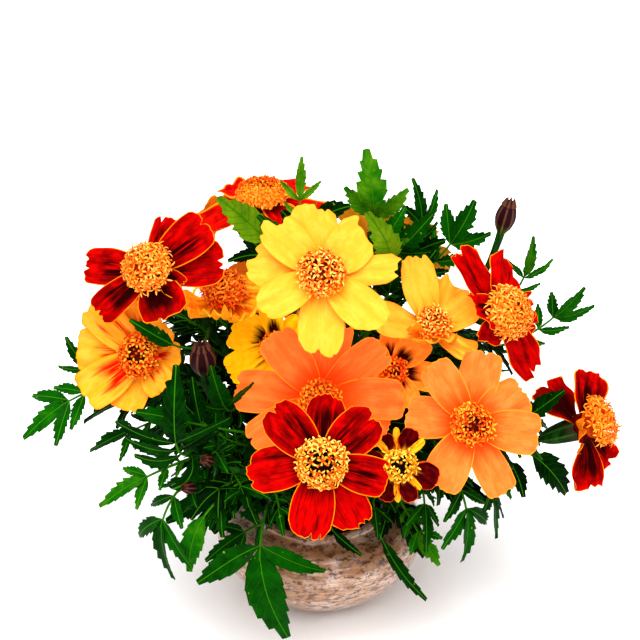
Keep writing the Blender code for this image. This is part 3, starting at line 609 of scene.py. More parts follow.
class MeshDraft:
    """Closed shapes gathered into one mesh, with named values over their surface."""

    def __init__(self, *channels: str) -> None:
        """Starts an empty draft.

        Args:
            channels: the names of the values that its points hold.
        """
        self.points: list[Array] = []
        self.faces: list[list[int]] = []
        self.values: dict[str, list[Array]] = {channel: [] for channel in channels}
        self.size = 0

    def add(self, points: Array, faces: tuple[Array, ...], **values: Array | float) -> None:
        """Adds one closed shape, turned so that its faces point out.

        Args:
            points: its points, in metres.
            faces: arrays of faces with equal corners.
            values: for each channel one number, or one for each point.
        """
        volume = 0.0
        for group in faces:
            corners = points[group]
            for i in range(1, group.shape[1] - 1):
                spread = np.cross(corners[:, i], corners[:, i + 1])
                volume += float(np.einsum("ij,ij->", corners[:, 0], spread))
        for group in faces:
            turned = group[:, ::-1] if volume < 0 else group
            self.faces += (turned + self.size).tolist()
        self.points.append(points)
        for channel, kept in self.values.items():
            kept.append(np.broadcast_to(np.asarray(values[channel], float).reshape(-1), len(points)))
        self.size += len(points)

    def add_sheet(self, top: Array, bottom: Array, **values: Array | float) -> None:
        """Adds a thin closed sheet from its upper and lower faces.

        Args:
            top: its upper points, as rows of columns.
            bottom: its lower points, alike.
            values: for each channel a number or an array alike; "under" is set here.
        """
        rows, columns = top.shape[:2]
        index = np.arange(rows * columns).reshape(rows, columns)
        upper = np.stack((index[:-1, :-1], index[1:, :-1], index[1:, 1:], index[:-1, 1:]), axis=-1)
        upper = upper.reshape(-1, 4)
        rim = np.concatenate((index[0, :-1], index[:-1, -1], index[-1, :0:-1], index[:0:-1, 0]))
        after = np.roll(rim, -1)
        count = rows * columns
        side = np.stack((rim, after, after + count, rim + count), axis=-1)
        faces = (np.concatenate((upper, upper[:, ::-1] + count, side)),)
        spread = {"under": np.repeat((0.0, 1.0), count)}
        for channel, value in values.items():
            full = np.broadcast_to(np.asarray(value, float), (rows, columns)).reshape(-1)
            spread[channel] = np.tile(full, 2)
        points = np.concatenate((top.reshape(-1, 3), bottom.reshape(-1, 3)))
        self.add(points, faces, **spread)

    def add_loft(self, rings: Array, **values: Array | float) -> None:
        """Adds one closed tube from its rings, with a number or an array of corners for each channel."""
        self.add_lofts(rings[None], **values)

    def add_lofts(self, rings: Array, **values: Array | float) -> None:
        """Adds many closed tubes alike.

        Args:
            rings: the points, as tubes of rings of corners.
            values: for each channel a number, or an array that spreads over tubes, rings and corners.
        """
        tubes, count, sides = rings.shape[:3]
        index = np.arange(tubes * count * sides).reshape(tubes, count, sides)
        beside = np.roll(index, -1, axis=2)
        skin = np.stack((index[:, :-1], beside[:, :-1], beside[:, 1:], index[:, 1:]), axis=-1).reshape(-1, 4)
        caps = np.concatenate((index[:, 0, ::-1], index[:, -1]))
        spread = {
            channel: np.broadcast_to(np.asarray(value, float), (tubes, count, sides)).reshape(-1)
            for channel, value in values.items()
        }
        self.add(rings.reshape(-1, 3), (skin, caps), **spread)

    def build(self, name: str, material: bpy.types.Material, sharp: float = 50.0) -> bpy.types.Object:
        """Makes the piece, smooth but for edges sharper than an angle, riding on the body.

        Args:
            name: the piece's name.
            material: its finish.
            sharp: the angle in degrees past which an edge stays sharp.

        Returns:
            The new object, linked to the scene.
        """
        mesh = bpy.data.meshes.new(name)
        mesh.from_pydata(np.concatenate(self.points).tolist(), [], self.faces)
        for channel, kept in self.values.items():
            attribute = mesh.attributes.new(channel, "FLOAT", "POINT")
            attribute.data.foreach_set("value", np.concatenate(kept).astype(np.float32))
        mesh.shade_smooth()
        mesh.set_sharp_from_angle(angle=math.radians(sharp))
        mesh.materials.append(material)
        piece = bpy.data.objects.new(name, mesh)
        bpy.context.scene.collection.objects.link(piece)
        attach(piece, ROOT_BODY)
        LOG.info("%s: %d faces", name, len(self.faces))
        return piece


def tube_rings(points: Array, radii: Array, sides: int, ridges: int = 0, depth: float = 0.0) -> Array:
    """The rings of a tube along a path.

    Args:
        points: the path, in millimetres.
        radii: a radius at each point.
        sides: the corners of each ring.
        ridges: how many ridges run along it.
        depth: how high they stand, as a share of the radius.

    Returns:
        The rings' corners in metres.
    """
    tangents = unit(np.gradient(points, axis=0))
    across = np.cross(tangents[0], (0.31, 0.82, 0.47))
    angles = np.arange(sides) * 2 * np.pi / sides
    swell = 1 + depth * np.cos(ridges * angles)
    rings = []
    for point, tangent, radius in zip(points, tangents, radii):
        across = unit(across - tangent * (across @ tangent))
        beside = np.cross(tangent, across)
        ring = np.outer(np.cos(angles) * swell, across) + np.outer(np.sin(angles) * swell, beside)
        rings.append(point + ring * radius)
    return np.array(rings) * MM


class Graph:
    """Adds nodes to one node tree, and wires them by plain calls."""

    def __init__(self, tree: bpy.types.NodeTree) -> None:
        """Takes the tree that its nodes go into."""
        self.tree = tree

    def node(self, kind: str, inputs: dict | None = None, **settings: object) -> bpy.types.Node:
        """Adds a node.

        Args:
            kind: its type's name.
            inputs: for each socket a number, a colour or the socket that feeds it.
            settings: the node's own settings.

        Returns:
            The node.
        """
        made = self.tree.nodes.new(kind)
        for name, value in settings.items():
            setattr(made, name, value)
        for key, value in (inputs or {}).items():
            self.feed(made.inputs[key], value)
        return made

    def feed(self, socket: Socket, value: object) -> None:
        """Links a socket to another, or gives it a plain value."""
        if isinstance(value, bpy.types.NodeSocket):
            self.tree.links.new(value, socket)
        else:
            socket.default_value = value

    def math(self, operation: str, first: object, second: object = 0.0) -> Socket:
        """The result of a Math node."""
        return self.node("ShaderNodeMath", {0: first, 1: second}, operation=operation).outputs[0]

    def plus(self, first: object, second: object) -> Socket:
        """The sum of two numbers."""
        return self.math("ADD", first, second)

    def minus(self, first: object, second: object) -> Socket:
        """The first number less the second."""
        return self.math("SUBTRACT", first, second)

    def times(self, first: object, second: object) -> Socket:
        """The product of two numbers."""
        return self.math("MULTIPLY", first, second)

    def rest(self, value: object) -> Socket:
        """What a number leaves of 1."""
        return self.math("SUBTRACT", 1.0, value)

    def value(self, channel: str) -> Socket:
        """A value that the mesh holds over its surface."""
        return self.node("ShaderNodeAttribute", attribute_name=channel).outputs["Fac"]

    def ease(self, value: object, low: object, high: object) -> Socket:
        """A smooth rise from 0 at low to 1 at high."""
        inputs = {"Value": value, "From Min": low, "From Max": high}
        return self.node("ShaderNodeMapRange", inputs, interpolation_type="SMOOTHSTEP").outputs[0]

    def mix(self, factor: object, first: object, second: object) -> Socket:
        """A mix of two colours."""
        return self.node("ShaderNodeMix", {0: factor, 6: first, 7: second}, data_type="RGBA").outputs[2]

    def place(self, x: object, y: object, z: object) -> Socket:
        """A vector from three numbers."""
        return self.node("ShaderNodeCombineXYZ", {0: x, 1: y, 2: z}).outputs[0]

    def stretched(self, x: float, y: float, z: float) -> Socket:
        """The place on the object, scaled along each axis."""
        place = self.node("ShaderNodeTexCoord").outputs["Object"]
        return self.node("ShaderNodeVectorMath", {0: place, 1: (x, y, z)}, operation="MULTIPLY").outputs[0]

    def noise(self, vector: Socket, scale: float = 1.0, detail: float = 2.0, rough: float = 0.5) -> Socket:
        """Soft noise from 0 to 1."""
        inputs = {"Vector": vector, "Scale": scale, "Detail": detail, "Roughness": rough}
        return self.node("ShaderNodeTexNoise", inputs).outputs["Fac"]

    def group(self, tree: bpy.types.NodeTree, inputs: dict) -> bpy.types.Node:
        """A shader node group, placed with its own values."""
        return self.node("ShaderNodeGroup", inputs, node_tree=tree)


def shader_group(
    name: str, inputs: dict, outputs: dict, wire: Callable[[Graph, dict], dict]
) -> bpy.types.NodeTree:
    """A shader node group, built once and found again by its name.

    Args:
        name: the group's name.
        inputs: for each input its default, a number or a colour.
        outputs: for each output its socket type.
        wire: takes the graph and the input sockets, and gives a socket for each output.

    Returns:
        The group's node tree.
    """
    if name in bpy.data.node_groups:
        return bpy.data.node_groups[name]
    tree = bpy.data.node_groups.new(name, "ShaderNodeTree")
    for label, default in inputs.items():
        kind = "NodeSocketColor" if isinstance(default, tuple) else "NodeSocketFloat"
        socket = tree.interface.new_socket(label, in_out="INPUT", socket_type=kind)
        socket.default_value = default
    for label, kind in outputs.items():
        tree.interface.new_socket(label, in_out="OUTPUT", socket_type=kind)
    graph = Graph(tree)
    start = graph.node("NodeGroupInput")
    made = wire(graph, {label: start.outputs[label] for label in inputs})
    graph.node("NodeGroupOutput", made)
    return tree


PAINT_OUTPUTS = {
    "Colour": "NodeSocketColor",
    "Roughness": "NodeSocketFloat",
    "Height": "NodeSocketFloat",
}
WHITE: Colour = (1.0, 1.0, 1.0, 1.0)
BLACK: Colour = (0.0, 0.0, 0.0, 1.0)
PRINCIPLED = "Principled BSDF"


def new_material(name: str) -> tuple[bpy.types.Material, Graph, bpy.types.Node]:
    """Starts a material.

    Args:
        name: its name.

    Returns:
        The material, its graph and its Principled shader.
    """
    material = bpy.data.materials.new(name)
    material.use_nodes = True
    return material, Graph(material.node_tree), material.node_tree.nodes[PRINCIPLED]


@dataclass(frozen=True)
class Finish:
    """A finish whose fields, but for its glow, are each the paint group's input of the same name."""

    def painted(
        self, name: str, wire: Callable[[Graph, dict], dict], bump: float, lift: float,
        specular: float = 0.5, glow: float = 0.0,
    ) -> bpy.types.Material:
        """A material that a paint group colours.

        Args:
            name: the material's name.
            wire: what wires the group, which is named after it.
            bump: the strength of the bump.
            lift: the height of the bump in metres.
            specular: the strength of its plain reflections.
            glow: how strongly it gives its own colour off, a painted glow that stands in for the light that
                comes through and lightens it where it lies in shade.

        Returns:
            The material.
        """
        kept = [item.name for item in fields(self) if item.name != "glow"]
        inputs = {label.replace("_", " ").capitalize(): getattr(self, label) for label in kept}
        material, graph, shader = new_material(name)
        tree = shader_group(wire.__name__.removeprefix("wire_"), inputs, PAINT_OUTPUTS, wire)
        paint = graph.group(tree, inputs)
        raised = {"Strength": bump, "Distance": lift, "Height": paint.outputs["Height"]}
        graph.feed(shader.inputs["Base Color"], paint.outputs["Colour"])
        graph.feed(shader.inputs["Roughness"], paint.outputs["Roughness"])
        graph.feed(shader.inputs["Normal"], graph.node("ShaderNodeBump", raised).outputs[0])
        shader.inputs["Specular IOR Level"].default_value = specular
        if glow:
            graph.feed(shader.inputs["Emission Color"], paint.outputs["Colour"])
            shader.inputs["Emission Strength"].default_value = glow
        return material


def wire_petal_paint(graph: Graph, given: dict) -> dict:
    """Paints a petal: fibres along it, a shaded base, blotched streaks, a rim and its own back.

    Args:
        graph: the group's graph.
        given: its input sockets, by name.

    Returns:
        What feeds each of its outputs.
    """
    along, across, dark = graph.value("along"), graph.value("across"), graph.value("dark")
    seed = graph.times(graph.value("seed"), 43.0)
    aside = graph.math("ABSOLUTE", across)
    wide = graph.place(graph.times(across, 3.4), graph.times(along, 1.1), seed)
    fine = graph.place(graph.times(across, 15.0), graph.times(along, 1.6), seed)
    cloud = graph.place(graph.times(across, 2.2), graph.times(along, 3.4), seed)
    streak = graph.noise(wide, 1.0, 2.0)
    fibre = graph.noise(fine, 1.0, 3.0, 0.6)
    patch = graph.noise(cloud, 1.3, 4.0, 0.6)
    depth = graph.times(graph.minus(streak, 0.5), 0.7)
    reach = graph.plus(given["Shade reach"], depth)
    base = graph.rest(graph.ease(along, graph.times(reach, 0.3), reach))
    deep = graph.ease(graph.plus(patch, graph.times(dark, 0.3)), 0.58, 0.86)
    shade = graph.math("MAXIMUM", base, graph.times(deep, given["Cloud strength"]))
    body = graph.mix(graph.ease(patch, 0.35, 0.6), given["Light"], given["Ground"])
    body = graph.mix(shade, body, given["Shade"])
    vein = graph.times(graph.ease(fibre, 0.5, 0.72), given["Vein strength"])
    body = graph.mix(vein, body, given["Vein"])
    end = graph.plus(given["Mark end"], graph.times(depth, 0.8))
    late = graph.rest(graph.ease(along, graph.minus(end, 0.3), end))
    early = graph.ease(along, 0.04, 0.22)
    middle = graph.rest(graph.ease(aside, 0.42, 0.95))
    blend = graph.plus(graph.times(fibre, 0.45), graph.times(streak, 0.55))
    blend = graph.plus(blend, graph.times(graph.minus(dark, 0.5), 0.28))
    lines = graph.ease(blend, given["Mark gap"], graph.plus(given["Mark gap"], 0.13))
    mark = graph.times(graph.times(late, early), graph.times(middle, lines))
    body = graph.mix(graph.times(mark, given["Mark strength"]), body, given["Mark"])
    wander = graph.plus(0.5, graph.times(patch, 1.0))
    band = graph.times(given["Rim width"], wander)
    rim = graph.rest(graph.ease(graph.value("edge"), graph.times(band, 0.5), band))
    body = graph.mix(graph.times(rim, graph.ease(along, 0.1, 0.35)), body, given["Rim"])
    back = graph.mix(graph.times(vein, 0.6), given["Back"], given["Vein"])
    colour = graph.mix(graph.ease(graph.value("under"), 0.45, 0.55), body, back)
    height = graph.plus(graph.times(fibre, 0.7), graph.times(streak, 0.6))
    rough = graph.plus(0.5, graph.times(fibre, 0.22))
    return {"Colour": colour, "Roughness": rough, "Height": height}


@dataclass(frozen=True)
class PetalFinish(Finish):
    """The look of one kind of ray petal."""

    ground: Colour
    light: Colour
    shade: Colour
    vein: Colour
    rim: Colour
    back: Colour
    mark: Colour = BLACK
    shade_reach: float = 0.55
    cloud_strength: float = 0.0
    vein_strength: float = 0.25
    mark_strength: float = 0.0
    mark_end: float = 0.7
    mark_gap: float = 0.5
    rim_width: float = 0.5
    # A painted glow, which lightens the petal where it lies in shade
    glow: float = 0.05

    def material(self, name: str) -> bpy.types.Material:
        """The petal's material, under this name, lit a little by its painted glow."""
        return self.painted(name, wire_petal_paint, 0.35, 0.0004, specular=0.02, glow=self.glow)


# Each glow is a painted glow on the petals, strongest on the orange, marked and golden ones, that lightens
# them where they lie in shade.
PETAL_FINISHES = {
    Petal.LEMON: PetalFinish(
        ground=(0.86, 0.4, 0.034, 1), light=(0.88, 0.46, 0.055, 1), shade=(0.86, 0.24, 0.004, 1),
        vein=(0.82, 0.27, 0.006, 1), rim=(0.9, 0.37, 0.02, 1), back=(0.84, 0.37, 0.02, 1),
        shade_reach=0.42, vein_strength=0.22, rim_width=0.3, glow=0.1,
    ),
    Petal.ORANGE: PetalFinish(
        ground=(0.93, 0.165, 0.028, 1), light=(0.96, 0.21, 0.045, 1), shade=(0.88, 0.08, 0.006, 1),
        vein=(0.8, 0.06, 0.003, 1), rim=(0.96, 0.28, 0.02, 1), back=(0.9, 0.2, 0.015, 1),
        shade_reach=0.6, vein_strength=0.3, rim_width=0.35, glow=0.24,
    ),
    Petal.RED: PetalFinish(
        ground=(0.42, 0.0003, 0.0001, 1), light=(0.54, 0.0008, 0.0002, 1), shade=(0.11, 0.0, 0.0, 1),
        vein=(0.14, 0.0, 0.0001, 1), rim=(1.0, 0.25, 0.004, 1), back=(0.93, 0.24, 0.01, 1),
        mark=(0.014, 0.0, 0.0, 1), shade_reach=0.5, cloud_strength=0.6, vein_strength=0.45,
        mark_strength=0.95, mark_end=0.9, mark_gap=0.47, rim_width=0.34,
    ),
    Petal.CRIMSON: PetalFinish(
        ground=(0.5, 0.0008, 0.0002, 1), light=(0.7, 0.006, 0.0004, 1), shade=(0.2, 0.0002, 0.0, 1),
        vein=(0.14, 0.0, 0.0005, 1), rim=(1.0, 0.25, 0.006, 1), back=(0.93, 0.28, 0.01, 1),
        mark=(0.03, 0.0, 0.0005, 1), shade_reach=0.55, cloud_strength=0.6, vein_strength=0.5,
        mark_strength=0.7, mark_end=0.8, rim_width=1.1,
    ),
    Petal.FLAMED: PetalFinish(
        ground=(0.93, 0.36, 0.02, 1), light=(0.96, 0.42, 0.05, 1), shade=(0.9, 0.22, 0.006, 1),
        vein=(0.88, 0.24, 0.004, 1), rim=(1.0, 0.3, 0.006, 1), back=(0.93, 0.36, 0.012, 1),
        mark=(0.7, 0.004, 0.0, 1), shade_reach=0.4, vein_strength=0.2, mark_strength=1.0,
        mark_end=0.74, mark_gap=0.43, rim_width=0.5,
    ),
    Petal.MARKED: PetalFinish(
        ground=(0.98, 0.24, 0.025, 1), light=(1.0, 0.32, 0.04, 1), shade=(0.85, 0.08, 0.004, 1),
        vein=(0.9, 0.12, 0.006, 1), rim=(1.0, 0.36, 0.02, 1), back=(0.93, 0.3, 0.02, 1),
        mark=(0.03, 0.0, 0.0, 1), shade_reach=0.3, vein_strength=0.2, mark_strength=1.0,
        mark_end=0.62, mark_gap=0.3, rim_width=0.35, glow=0.3,
    ),
    Petal.GOLDEN: PetalFinish(
        ground=(0.95, 0.5, 0.004, 1), light=(1.0, 0.58, 0.01, 1), shade=(0.6, 0.16, 0.004, 1),
        vein=(0.6, 0.2, 0.004, 1), rim=(1.0, 0.55, 0.01, 1), back=(0.9, 0.42, 0.01, 1),
        mark=(0.03, 0.001, 0.0005, 1), shade_reach=0.4, vein_strength=0.22, mark_strength=1.0,
        mark_end=0.56, mark_gap=0.4, rim_width=0.4, glow=0.3,
    ),
    Petal.RUST: PetalFinish(
        ground=(0.95, 0.3, 0.01, 1), light=(1.0, 0.46, 0.02, 1), shade=(0.5, 0.06, 0.002, 1),
        vein=(0.6, 0.08, 0.003, 1), rim=(1.0, 0.5, 0.03, 1), back=(0.98, 0.42, 0.02, 1),
        mark=(0.2, 0.006, 0.001, 1), shade_reach=0.6, cloud_strength=0.4, vein_strength=0.4,
        mark_strength=0.4, mark_end=0.75, rim_width=1.2, glow=0.15,
    ),
    Petal.MAROON: PetalFinish(
        ground=(0.05, 0.0, 0.001, 1), light=(0.14, 0.0005, 0.002, 1), shade=(0.98, 0.42, 0.012, 1),
        vein=(0.015, 0.0, 0.0005, 1), rim=(0.75, 0.09, 0.003, 1), back=(0.95, 0.5, 0.02, 1),
        shade_reach=0.5, vein_strength=0.35, rim_width=0.3,
    ),
}


def wire_floret_paint(graph: Graph, given: dict) -> dict:
    """Paints florets: a dark base, partly their own dark middle and partly painted shade in the gaps between
    them, a coloured throat and pale lobes, a little unlike from one to the next.

    Args:
        graph: the group's graph.
        given: its input sockets, by name.

    Returns:
        What feeds each of its outputs.
    """
    reach, seed = graph.value("along"), graph.value("seed")
    # The core colour at the florets' feet is partly their own dark middle and partly painted shade in the
    # gaps.
    tube = graph.ease(reach, 0.2, 0.58)
    lobe = graph.ease(reach, 0.6, 0.86)
    body = graph.mix(tube, given["Core"], given["Throat"])
    grain = graph.noise(graph.stretched(900.0, 900.0, 900.0), 1.0, 2.0)
    tint = graph.mix(graph.ease(graph.plus(seed, graph.times(grain, 0.5)), 0.55, 1.05),
                     given["Lobe"], given["Lobe light"])
    body = graph.mix(lobe, body, tint)
    body = graph.mix(graph.value("bud"), body, given["Bud"])
    return {"Colour": body, "Roughness": graph.plus(0.45, graph.times(grain, 0.2)), "Height": grain}


@dataclass(frozen=True)
class FloretFinish(Finish):
    """The look of one kind of disc floret."""

    core: Colour
    throat: Colour
    lobe: Colour
    lobe_light: Colour
    bud: Colour

    def material(self, name: str) -> bpy.types.Material:
        """The florets' material, under this name."""
        return self.painted(name, wire_floret_paint, 0.2, 0.0002, specular=0.1)


# Each core colour is partly the disc's own dark middle and partly painted shade at the florets' feet.
FLORET_FINISHES = {
    Disc.PEACH: FloretFinish(
        core=(0.3, 0.02, 0.001, 1), throat=(0.9, 0.1, 0.004, 1), lobe=(1.0, 0.47, 0.045, 1),
        lobe_light=(1.0, 0.68, 0.15, 1), bud=(0.75, 0.03, 0.003, 1),
    ),
    Disc.PALE_GOLD: FloretFinish(
        core=(0.03, 0.002, 0.0005, 1), throat=(0.9, 0.13, 0.005, 1), lobe=(1.0, 0.5, 0.04, 1),
        lobe_light=(1.0, 0.72, 0.15, 1), bud=(0.85, 0.16, 0.006, 1),
    ),
    Disc.EMBER: FloretFinish(
        core=(0.14, 0.01, 0.002, 1), throat=(0.72, 0.03, 0.002, 1), lobe=(1.0, 0.17, 0.005, 1),
        lobe_light=(1.0, 0.5, 0.03, 1), bud=(0.5, 0.06, 0.003, 1),
    ),
    Disc.ORANGE: FloretFinish(
        core=(0.7, 0.09, 0.003, 1), throat=(0.95, 0.18, 0.006, 1), lobe=(1.0, 0.27, 0.012, 1),
        lobe_light=(1.0, 0.42, 0.04, 1), bud=(0.95, 0.22, 0.01, 1),
    ),
    Disc.RUST: FloretFinish(
        core=(0.15, 0.008, 0.0005, 1), throat=(0.62, 0.05, 0.002, 1), lobe=(0.88, 0.16, 0.005, 1),
        lobe_light=(1.0, 0.33, 0.02, 1), bud=(0.7, 0.08, 0.003, 1),
    ),
    Disc.YELLOW: FloretFinish(
        core=(0.012, 0.001, 0.0005, 1), throat=(0.55, 0.16, 0.004, 1), lobe=(1.0, 0.48, 0.02, 1),
        lobe_light=(1.0, 0.66, 0.07, 1), bud=(0.9, 0.25, 0.006, 1),
    ),
    Disc.GOLD: FloretFinish(
        core=(0.55, 0.06, 0.002, 1), throat=(0.95, 0.15, 0.005, 1), lobe=(1.0, 0.32, 0.02, 1),
        lobe_light=(1.0, 0.52, 0.09, 1), bud=(0.95, 0.2, 0.008, 1),
    ),
}


def wire_leaf_paint(graph: Graph, given: dict) -> dict:
    """Paints a leaflet: mottled green, darkened into painted shade or lightened into a painted highlight leaf
    by leaf, a pale midrib, thin side veins, pale specks and a duller back.

    Args:
        graph: the group's graph.
        given: its input sockets, by name.

    Returns:
        What feeds each of its outputs.
    """
    along, across = graph.value("along"), graph.value("across")
    aside = graph.math("ABSOLUTE", across)
    grain = graph.noise(graph.stretched(220.0, 220.0, 220.0), 1.0, 4.0, 0.6)
    # Painted light and shade: each leaf's value runs from near-black painted shade through green to a warm
    # painted highlight.
    tone = graph.plus(graph.value("tone"), graph.times(graph.minus(grain, 0.5), 0.6))
    body = graph.mix(graph.ease(tone, -0.05, 0.85), given["Ground"], given["Light"])
    body = graph.mix(graph.ease(tone, 0.5, 1.1), body, given["Warm"])
    off = graph.math("ABSOLUTE", graph.value("side"))
    rib = graph.rest(graph.ease(off, 0.1, 0.28))
    turn = graph.minus(graph.times(along, 8.0), graph.times(aside, 1.5))
    swing = graph.math("ABSOLUTE", graph.minus(graph.math("FRACT", turn), 0.5))
    vein = graph.rest(graph.ease(swing, 0.03, 0.11))
    lines = graph.math("MAXIMUM", graph.times(rib, 0.85), graph.times(vein, 0.12))
    body = graph.mix(lines, body, given["Vein"])
    dots = graph.noise(graph.stretched(620.0, 620.0, 620.0), 1.0, 1.0)
    speck = graph.times(graph.ease(dots, 0.75, 0.79), 0.7)
    body = graph.mix(speck, body, given["Speck"])
    colour = graph.mix(graph.times(graph.value("under"), 0.75), body, given["Under"])
    raised = graph.math("MAXIMUM", rib, graph.times(vein, 0.6))
    height = graph.minus(graph.times(grain, 0.5), raised)
    rough = graph.plus(0.28, graph.times(grain, 0.25))
    return {"Colour": colour, "Roughness": rough, "Height": height}


@dataclass(frozen=True)
class LeafFinish(Finish):
    """The look of the leaves."""

    # The near-black ground is painted shade for leaves deep in the bouquet; the warm yellow-green is partly
    # the young leaves' own colour and partly a painted highlight.
    ground: Colour = (0.0, 0.01, 0.0004, 1)
    light: Colour = (0.006, 0.15, 0.001, 1)
    warm: Colour = (0.2, 0.34, 0.008, 1)
    vein: Colour = (0.05, 0.24, 0.004, 1)
    speck: Colour = (0.25, 0.42, 0.03, 1)
    under: Colour = (0.003, 0.04, 0.006, 1)

    def material(self, name: str) -> bpy.types.Material:
        """The leaves' material, under this name."""
        return self.painted(name, wire_leaf_paint, 0.7, 0.0005, specular=0.03)


def wire_stalk_paint(graph: Graph, given: dict) -> dict:
    """Paints a stalk: streaks along it, ribs of another colour, and a blush towards its end.

    Args:
        graph: the group's graph.
        given: its input sockets, by name.

    Returns:
        What feeds each of its outputs.
    """
    streak = graph.noise(graph.stretched(500.0, 500.0, 60.0), 1.0, 3.0)
    body = graph.mix(graph.ease(streak, 0.35, 0.7), given["Ground"], given["Streak"])
    rib = graph.times(graph.ease(graph.value("rib"), 0.35, 1.0), given["Rib strength"])
    body = graph.mix(rib, body, given["Rib"])
    blush = graph.plus(graph.value("blush"), graph.times(graph.minus(streak, 0.5), 0.5))
    body = graph.mix(graph.ease(blush, 0.2, 0.9), body, given["Blush"])
    lit = graph.mix(graph.times(rib, 0.5), body, given["Rib"])
    return {"Colour": lit, "Roughness": graph.plus(0.4, graph.times(streak, 0.2)), "Height": streak}


@dataclass(frozen=True)
class StalkFinish(Finish):
    """The look of stems, calyxes and buds."""

    ground: Colour
    streak: Colour
    rib: Colour
    blush: Colour
    rib_strength: float = 0.5

    def material(self, name: str) -> bpy.types.Material:
        """The stalks' material, under this name."""
        return self.painted(name, wire_stalk_paint, 0.3, 0.0003, specular=0.1)


STEM_FINISH = StalkFinish(
    ground=(0.001, 0.02, 0.002, 1), streak=(0.012, 0.08, 0.005, 1), rib=(0.05, 0.18, 0.012, 1),
    blush=(0.06, 0.03, 0.02, 1),
)
BUD_FINISH = StalkFinish(
    ground=(0.004, 0.04, 0.003, 1), streak=(0.02, 0.09, 0.006, 1), rib=(0.3, 0.12, 0.05, 1),
    blush=(0.022, 0.002, 0.006, 1), rib_strength=0.9,
)


def wire_glaze_paint(graph: Graph, given: dict) -> dict:
    """Paints a stoneware glaze: clouds, level streaks, dark blots and small specks.

    Args:
        graph: the group's graph.
        given: its input sockets, by name.

    Returns:
        What feeds each of its outputs.
    """
    cloud = graph.noise(graph.stretched(60.0, 60.0, 110.0), 1.0, 5.0, 0.62)
    streak = graph.noise(graph.stretched(150.0, 150.0, 900.0), 1.0, 4.0, 0.65)
    blot = graph.noise(graph.stretched(330.0, 330.0, 560.0), 1.0, 5.0, 0.72)
    fleck = graph.noise(graph.stretched(620.0, 620.0, 760.0), 1.0, 2.0)
    body = graph.mix(graph.ease(cloud, 0.42, 0.62), given["Ground"], given["Pale"])
    body = graph.mix(graph.times(graph.ease(streak, 0.44, 0.62), 0.8), body, given["Warm"])
    body = graph.mix(graph.times(graph.ease(blot, 0.5, 0.6), 0.92), body, given["Dark"])
    body = graph.mix(graph.times(graph.ease(fleck, 0.6, 0.68), 0.75), body, given["Fleck"])
    height = graph.plus(graph.times(blot, 0.5), graph.times(streak, 0.6))
    rough = graph.plus(0.16, graph.times(graph.ease(blot, 0.4, 0.7), 0.2))
    return {"Colour": body, "Roughness": rough, "Height": height}


@dataclass(frozen=True)
class GlazeFinish(Finish):
    """The look of the glazed stoneware."""

    ground: Colour = (0.46, 0.26, 0.145, 1)
    pale: Colour = (0.66, 0.47, 0.37, 1)
    warm: Colour = (0.36, 0.16, 0.075, 1)
    dark: Colour = (0.1, 0.038, 0.018, 1)
    fleck: Colour = (0.14, 0.16, 0.24, 1)

    def material(self, name: str) -> bpy.types.Material:
        """The glossy stoneware's material.

        Args:
            name: its name.

        Returns:
            The material.
        """
        material = self.painted(name, wire_glaze_paint, 0.25, 0.0005)
        shader = material.node_tree.nodes[PRINCIPLED]
        shader.inputs["Coat Roughness"].default_value = 0.08
        shader.inputs["Coat Weight"].default_value = 0.5
        return material


@dataclass(frozen=True)
class WaterFinish:
    """The look of the water."""

    clear: Colour = (0.86, 0.95, 0.93, 1)
    green: Colour = (0.62, 0.78, 0.66, 1)
    refraction: float = 1.333

    def material(self, name: str) -> bpy.types.Material:
        """The water's material.

        Args:
            name: its name.

        Returns:
            The material.
        """
        material, graph, shader = new_material(name)
        ripple = graph.noise(graph.stretched(90.0, 90.0, 90.0), 1.0, 2.0)
        graph.feed(shader.inputs["Base Color"], graph.mix(ripple, self.clear, self.green))
        bump = graph.node("ShaderNodeBump", {"Strength": 0.2, "Distance": 0.0006, "Height": ripple})
        graph.feed(shader.inputs["Normal"], bump.outputs[0])
        shader.inputs["Roughness"].default_value = 0.02
        shader.inputs["IOR"].default_value = self.refraction
        shader.inputs["Transmission Weight"].default_value = 1.0
        return material


@dataclass(frozen=True)
class FloorFinish:
    """The look of the plain floor."""

    ground: Colour = (0.93, 0.93, 0.93, 1)
    other: Colour = (0.95, 0.95, 0.95, 1)
    glow: float = 0.05

    def material(self, name: str) -> bpy.types.Material:
        """The floor's material.

        Args:
            name: its name.

        Returns:
            The material.
        """
        material, graph, shader = new_material(name)
        cloud = graph.noise(graph.stretched(3.0, 3.0, 3.0), 1.0, 2.0)
        graph.feed(shader.inputs["Base Color"], graph.mix(cloud, self.ground, self.other))
        shader.inputs["Roughness"].default_value = 0.9
        shader.inputs["Specular IOR Level"].default_value = 0.1
        shader.inputs["Emission Color"].default_value = WHITE
        shader.inputs["Emission Strength"].default_value = self.glow
        return material


class HeadFrame:
    """A flower head's own axes: x to its right, y up its face, z the way it faces."""

    def __init__(self, bloom: Bloom) -> None:
        """Sets the axes up.

        Args:
            bloom: the bloom that the head belongs to.
        """
        self.origin = np.array(bloom.centre, float)
        self.axis = heading(*bloom.facing)
        self.right = unit(np.cross(UP, self.axis))
        self.up = np.cross(self.axis, self.right)

    def world(self, x: Array, y: Array, z: Array) -> Array:
        """World places, in metres, of local ones in millimetres."""
        local = np.stack(np.broadcast_arrays(x, y, z), axis=-1)
        return (self.origin + local @ np.array((self.right, self.up, self.axis))) * MM

    def local(self, places: Array) -> Array:
        """Local places, a row each, of world ones in millimetres."""
        return (places - self.origin) @ np.array((self.right, self.up, self.axis)).T


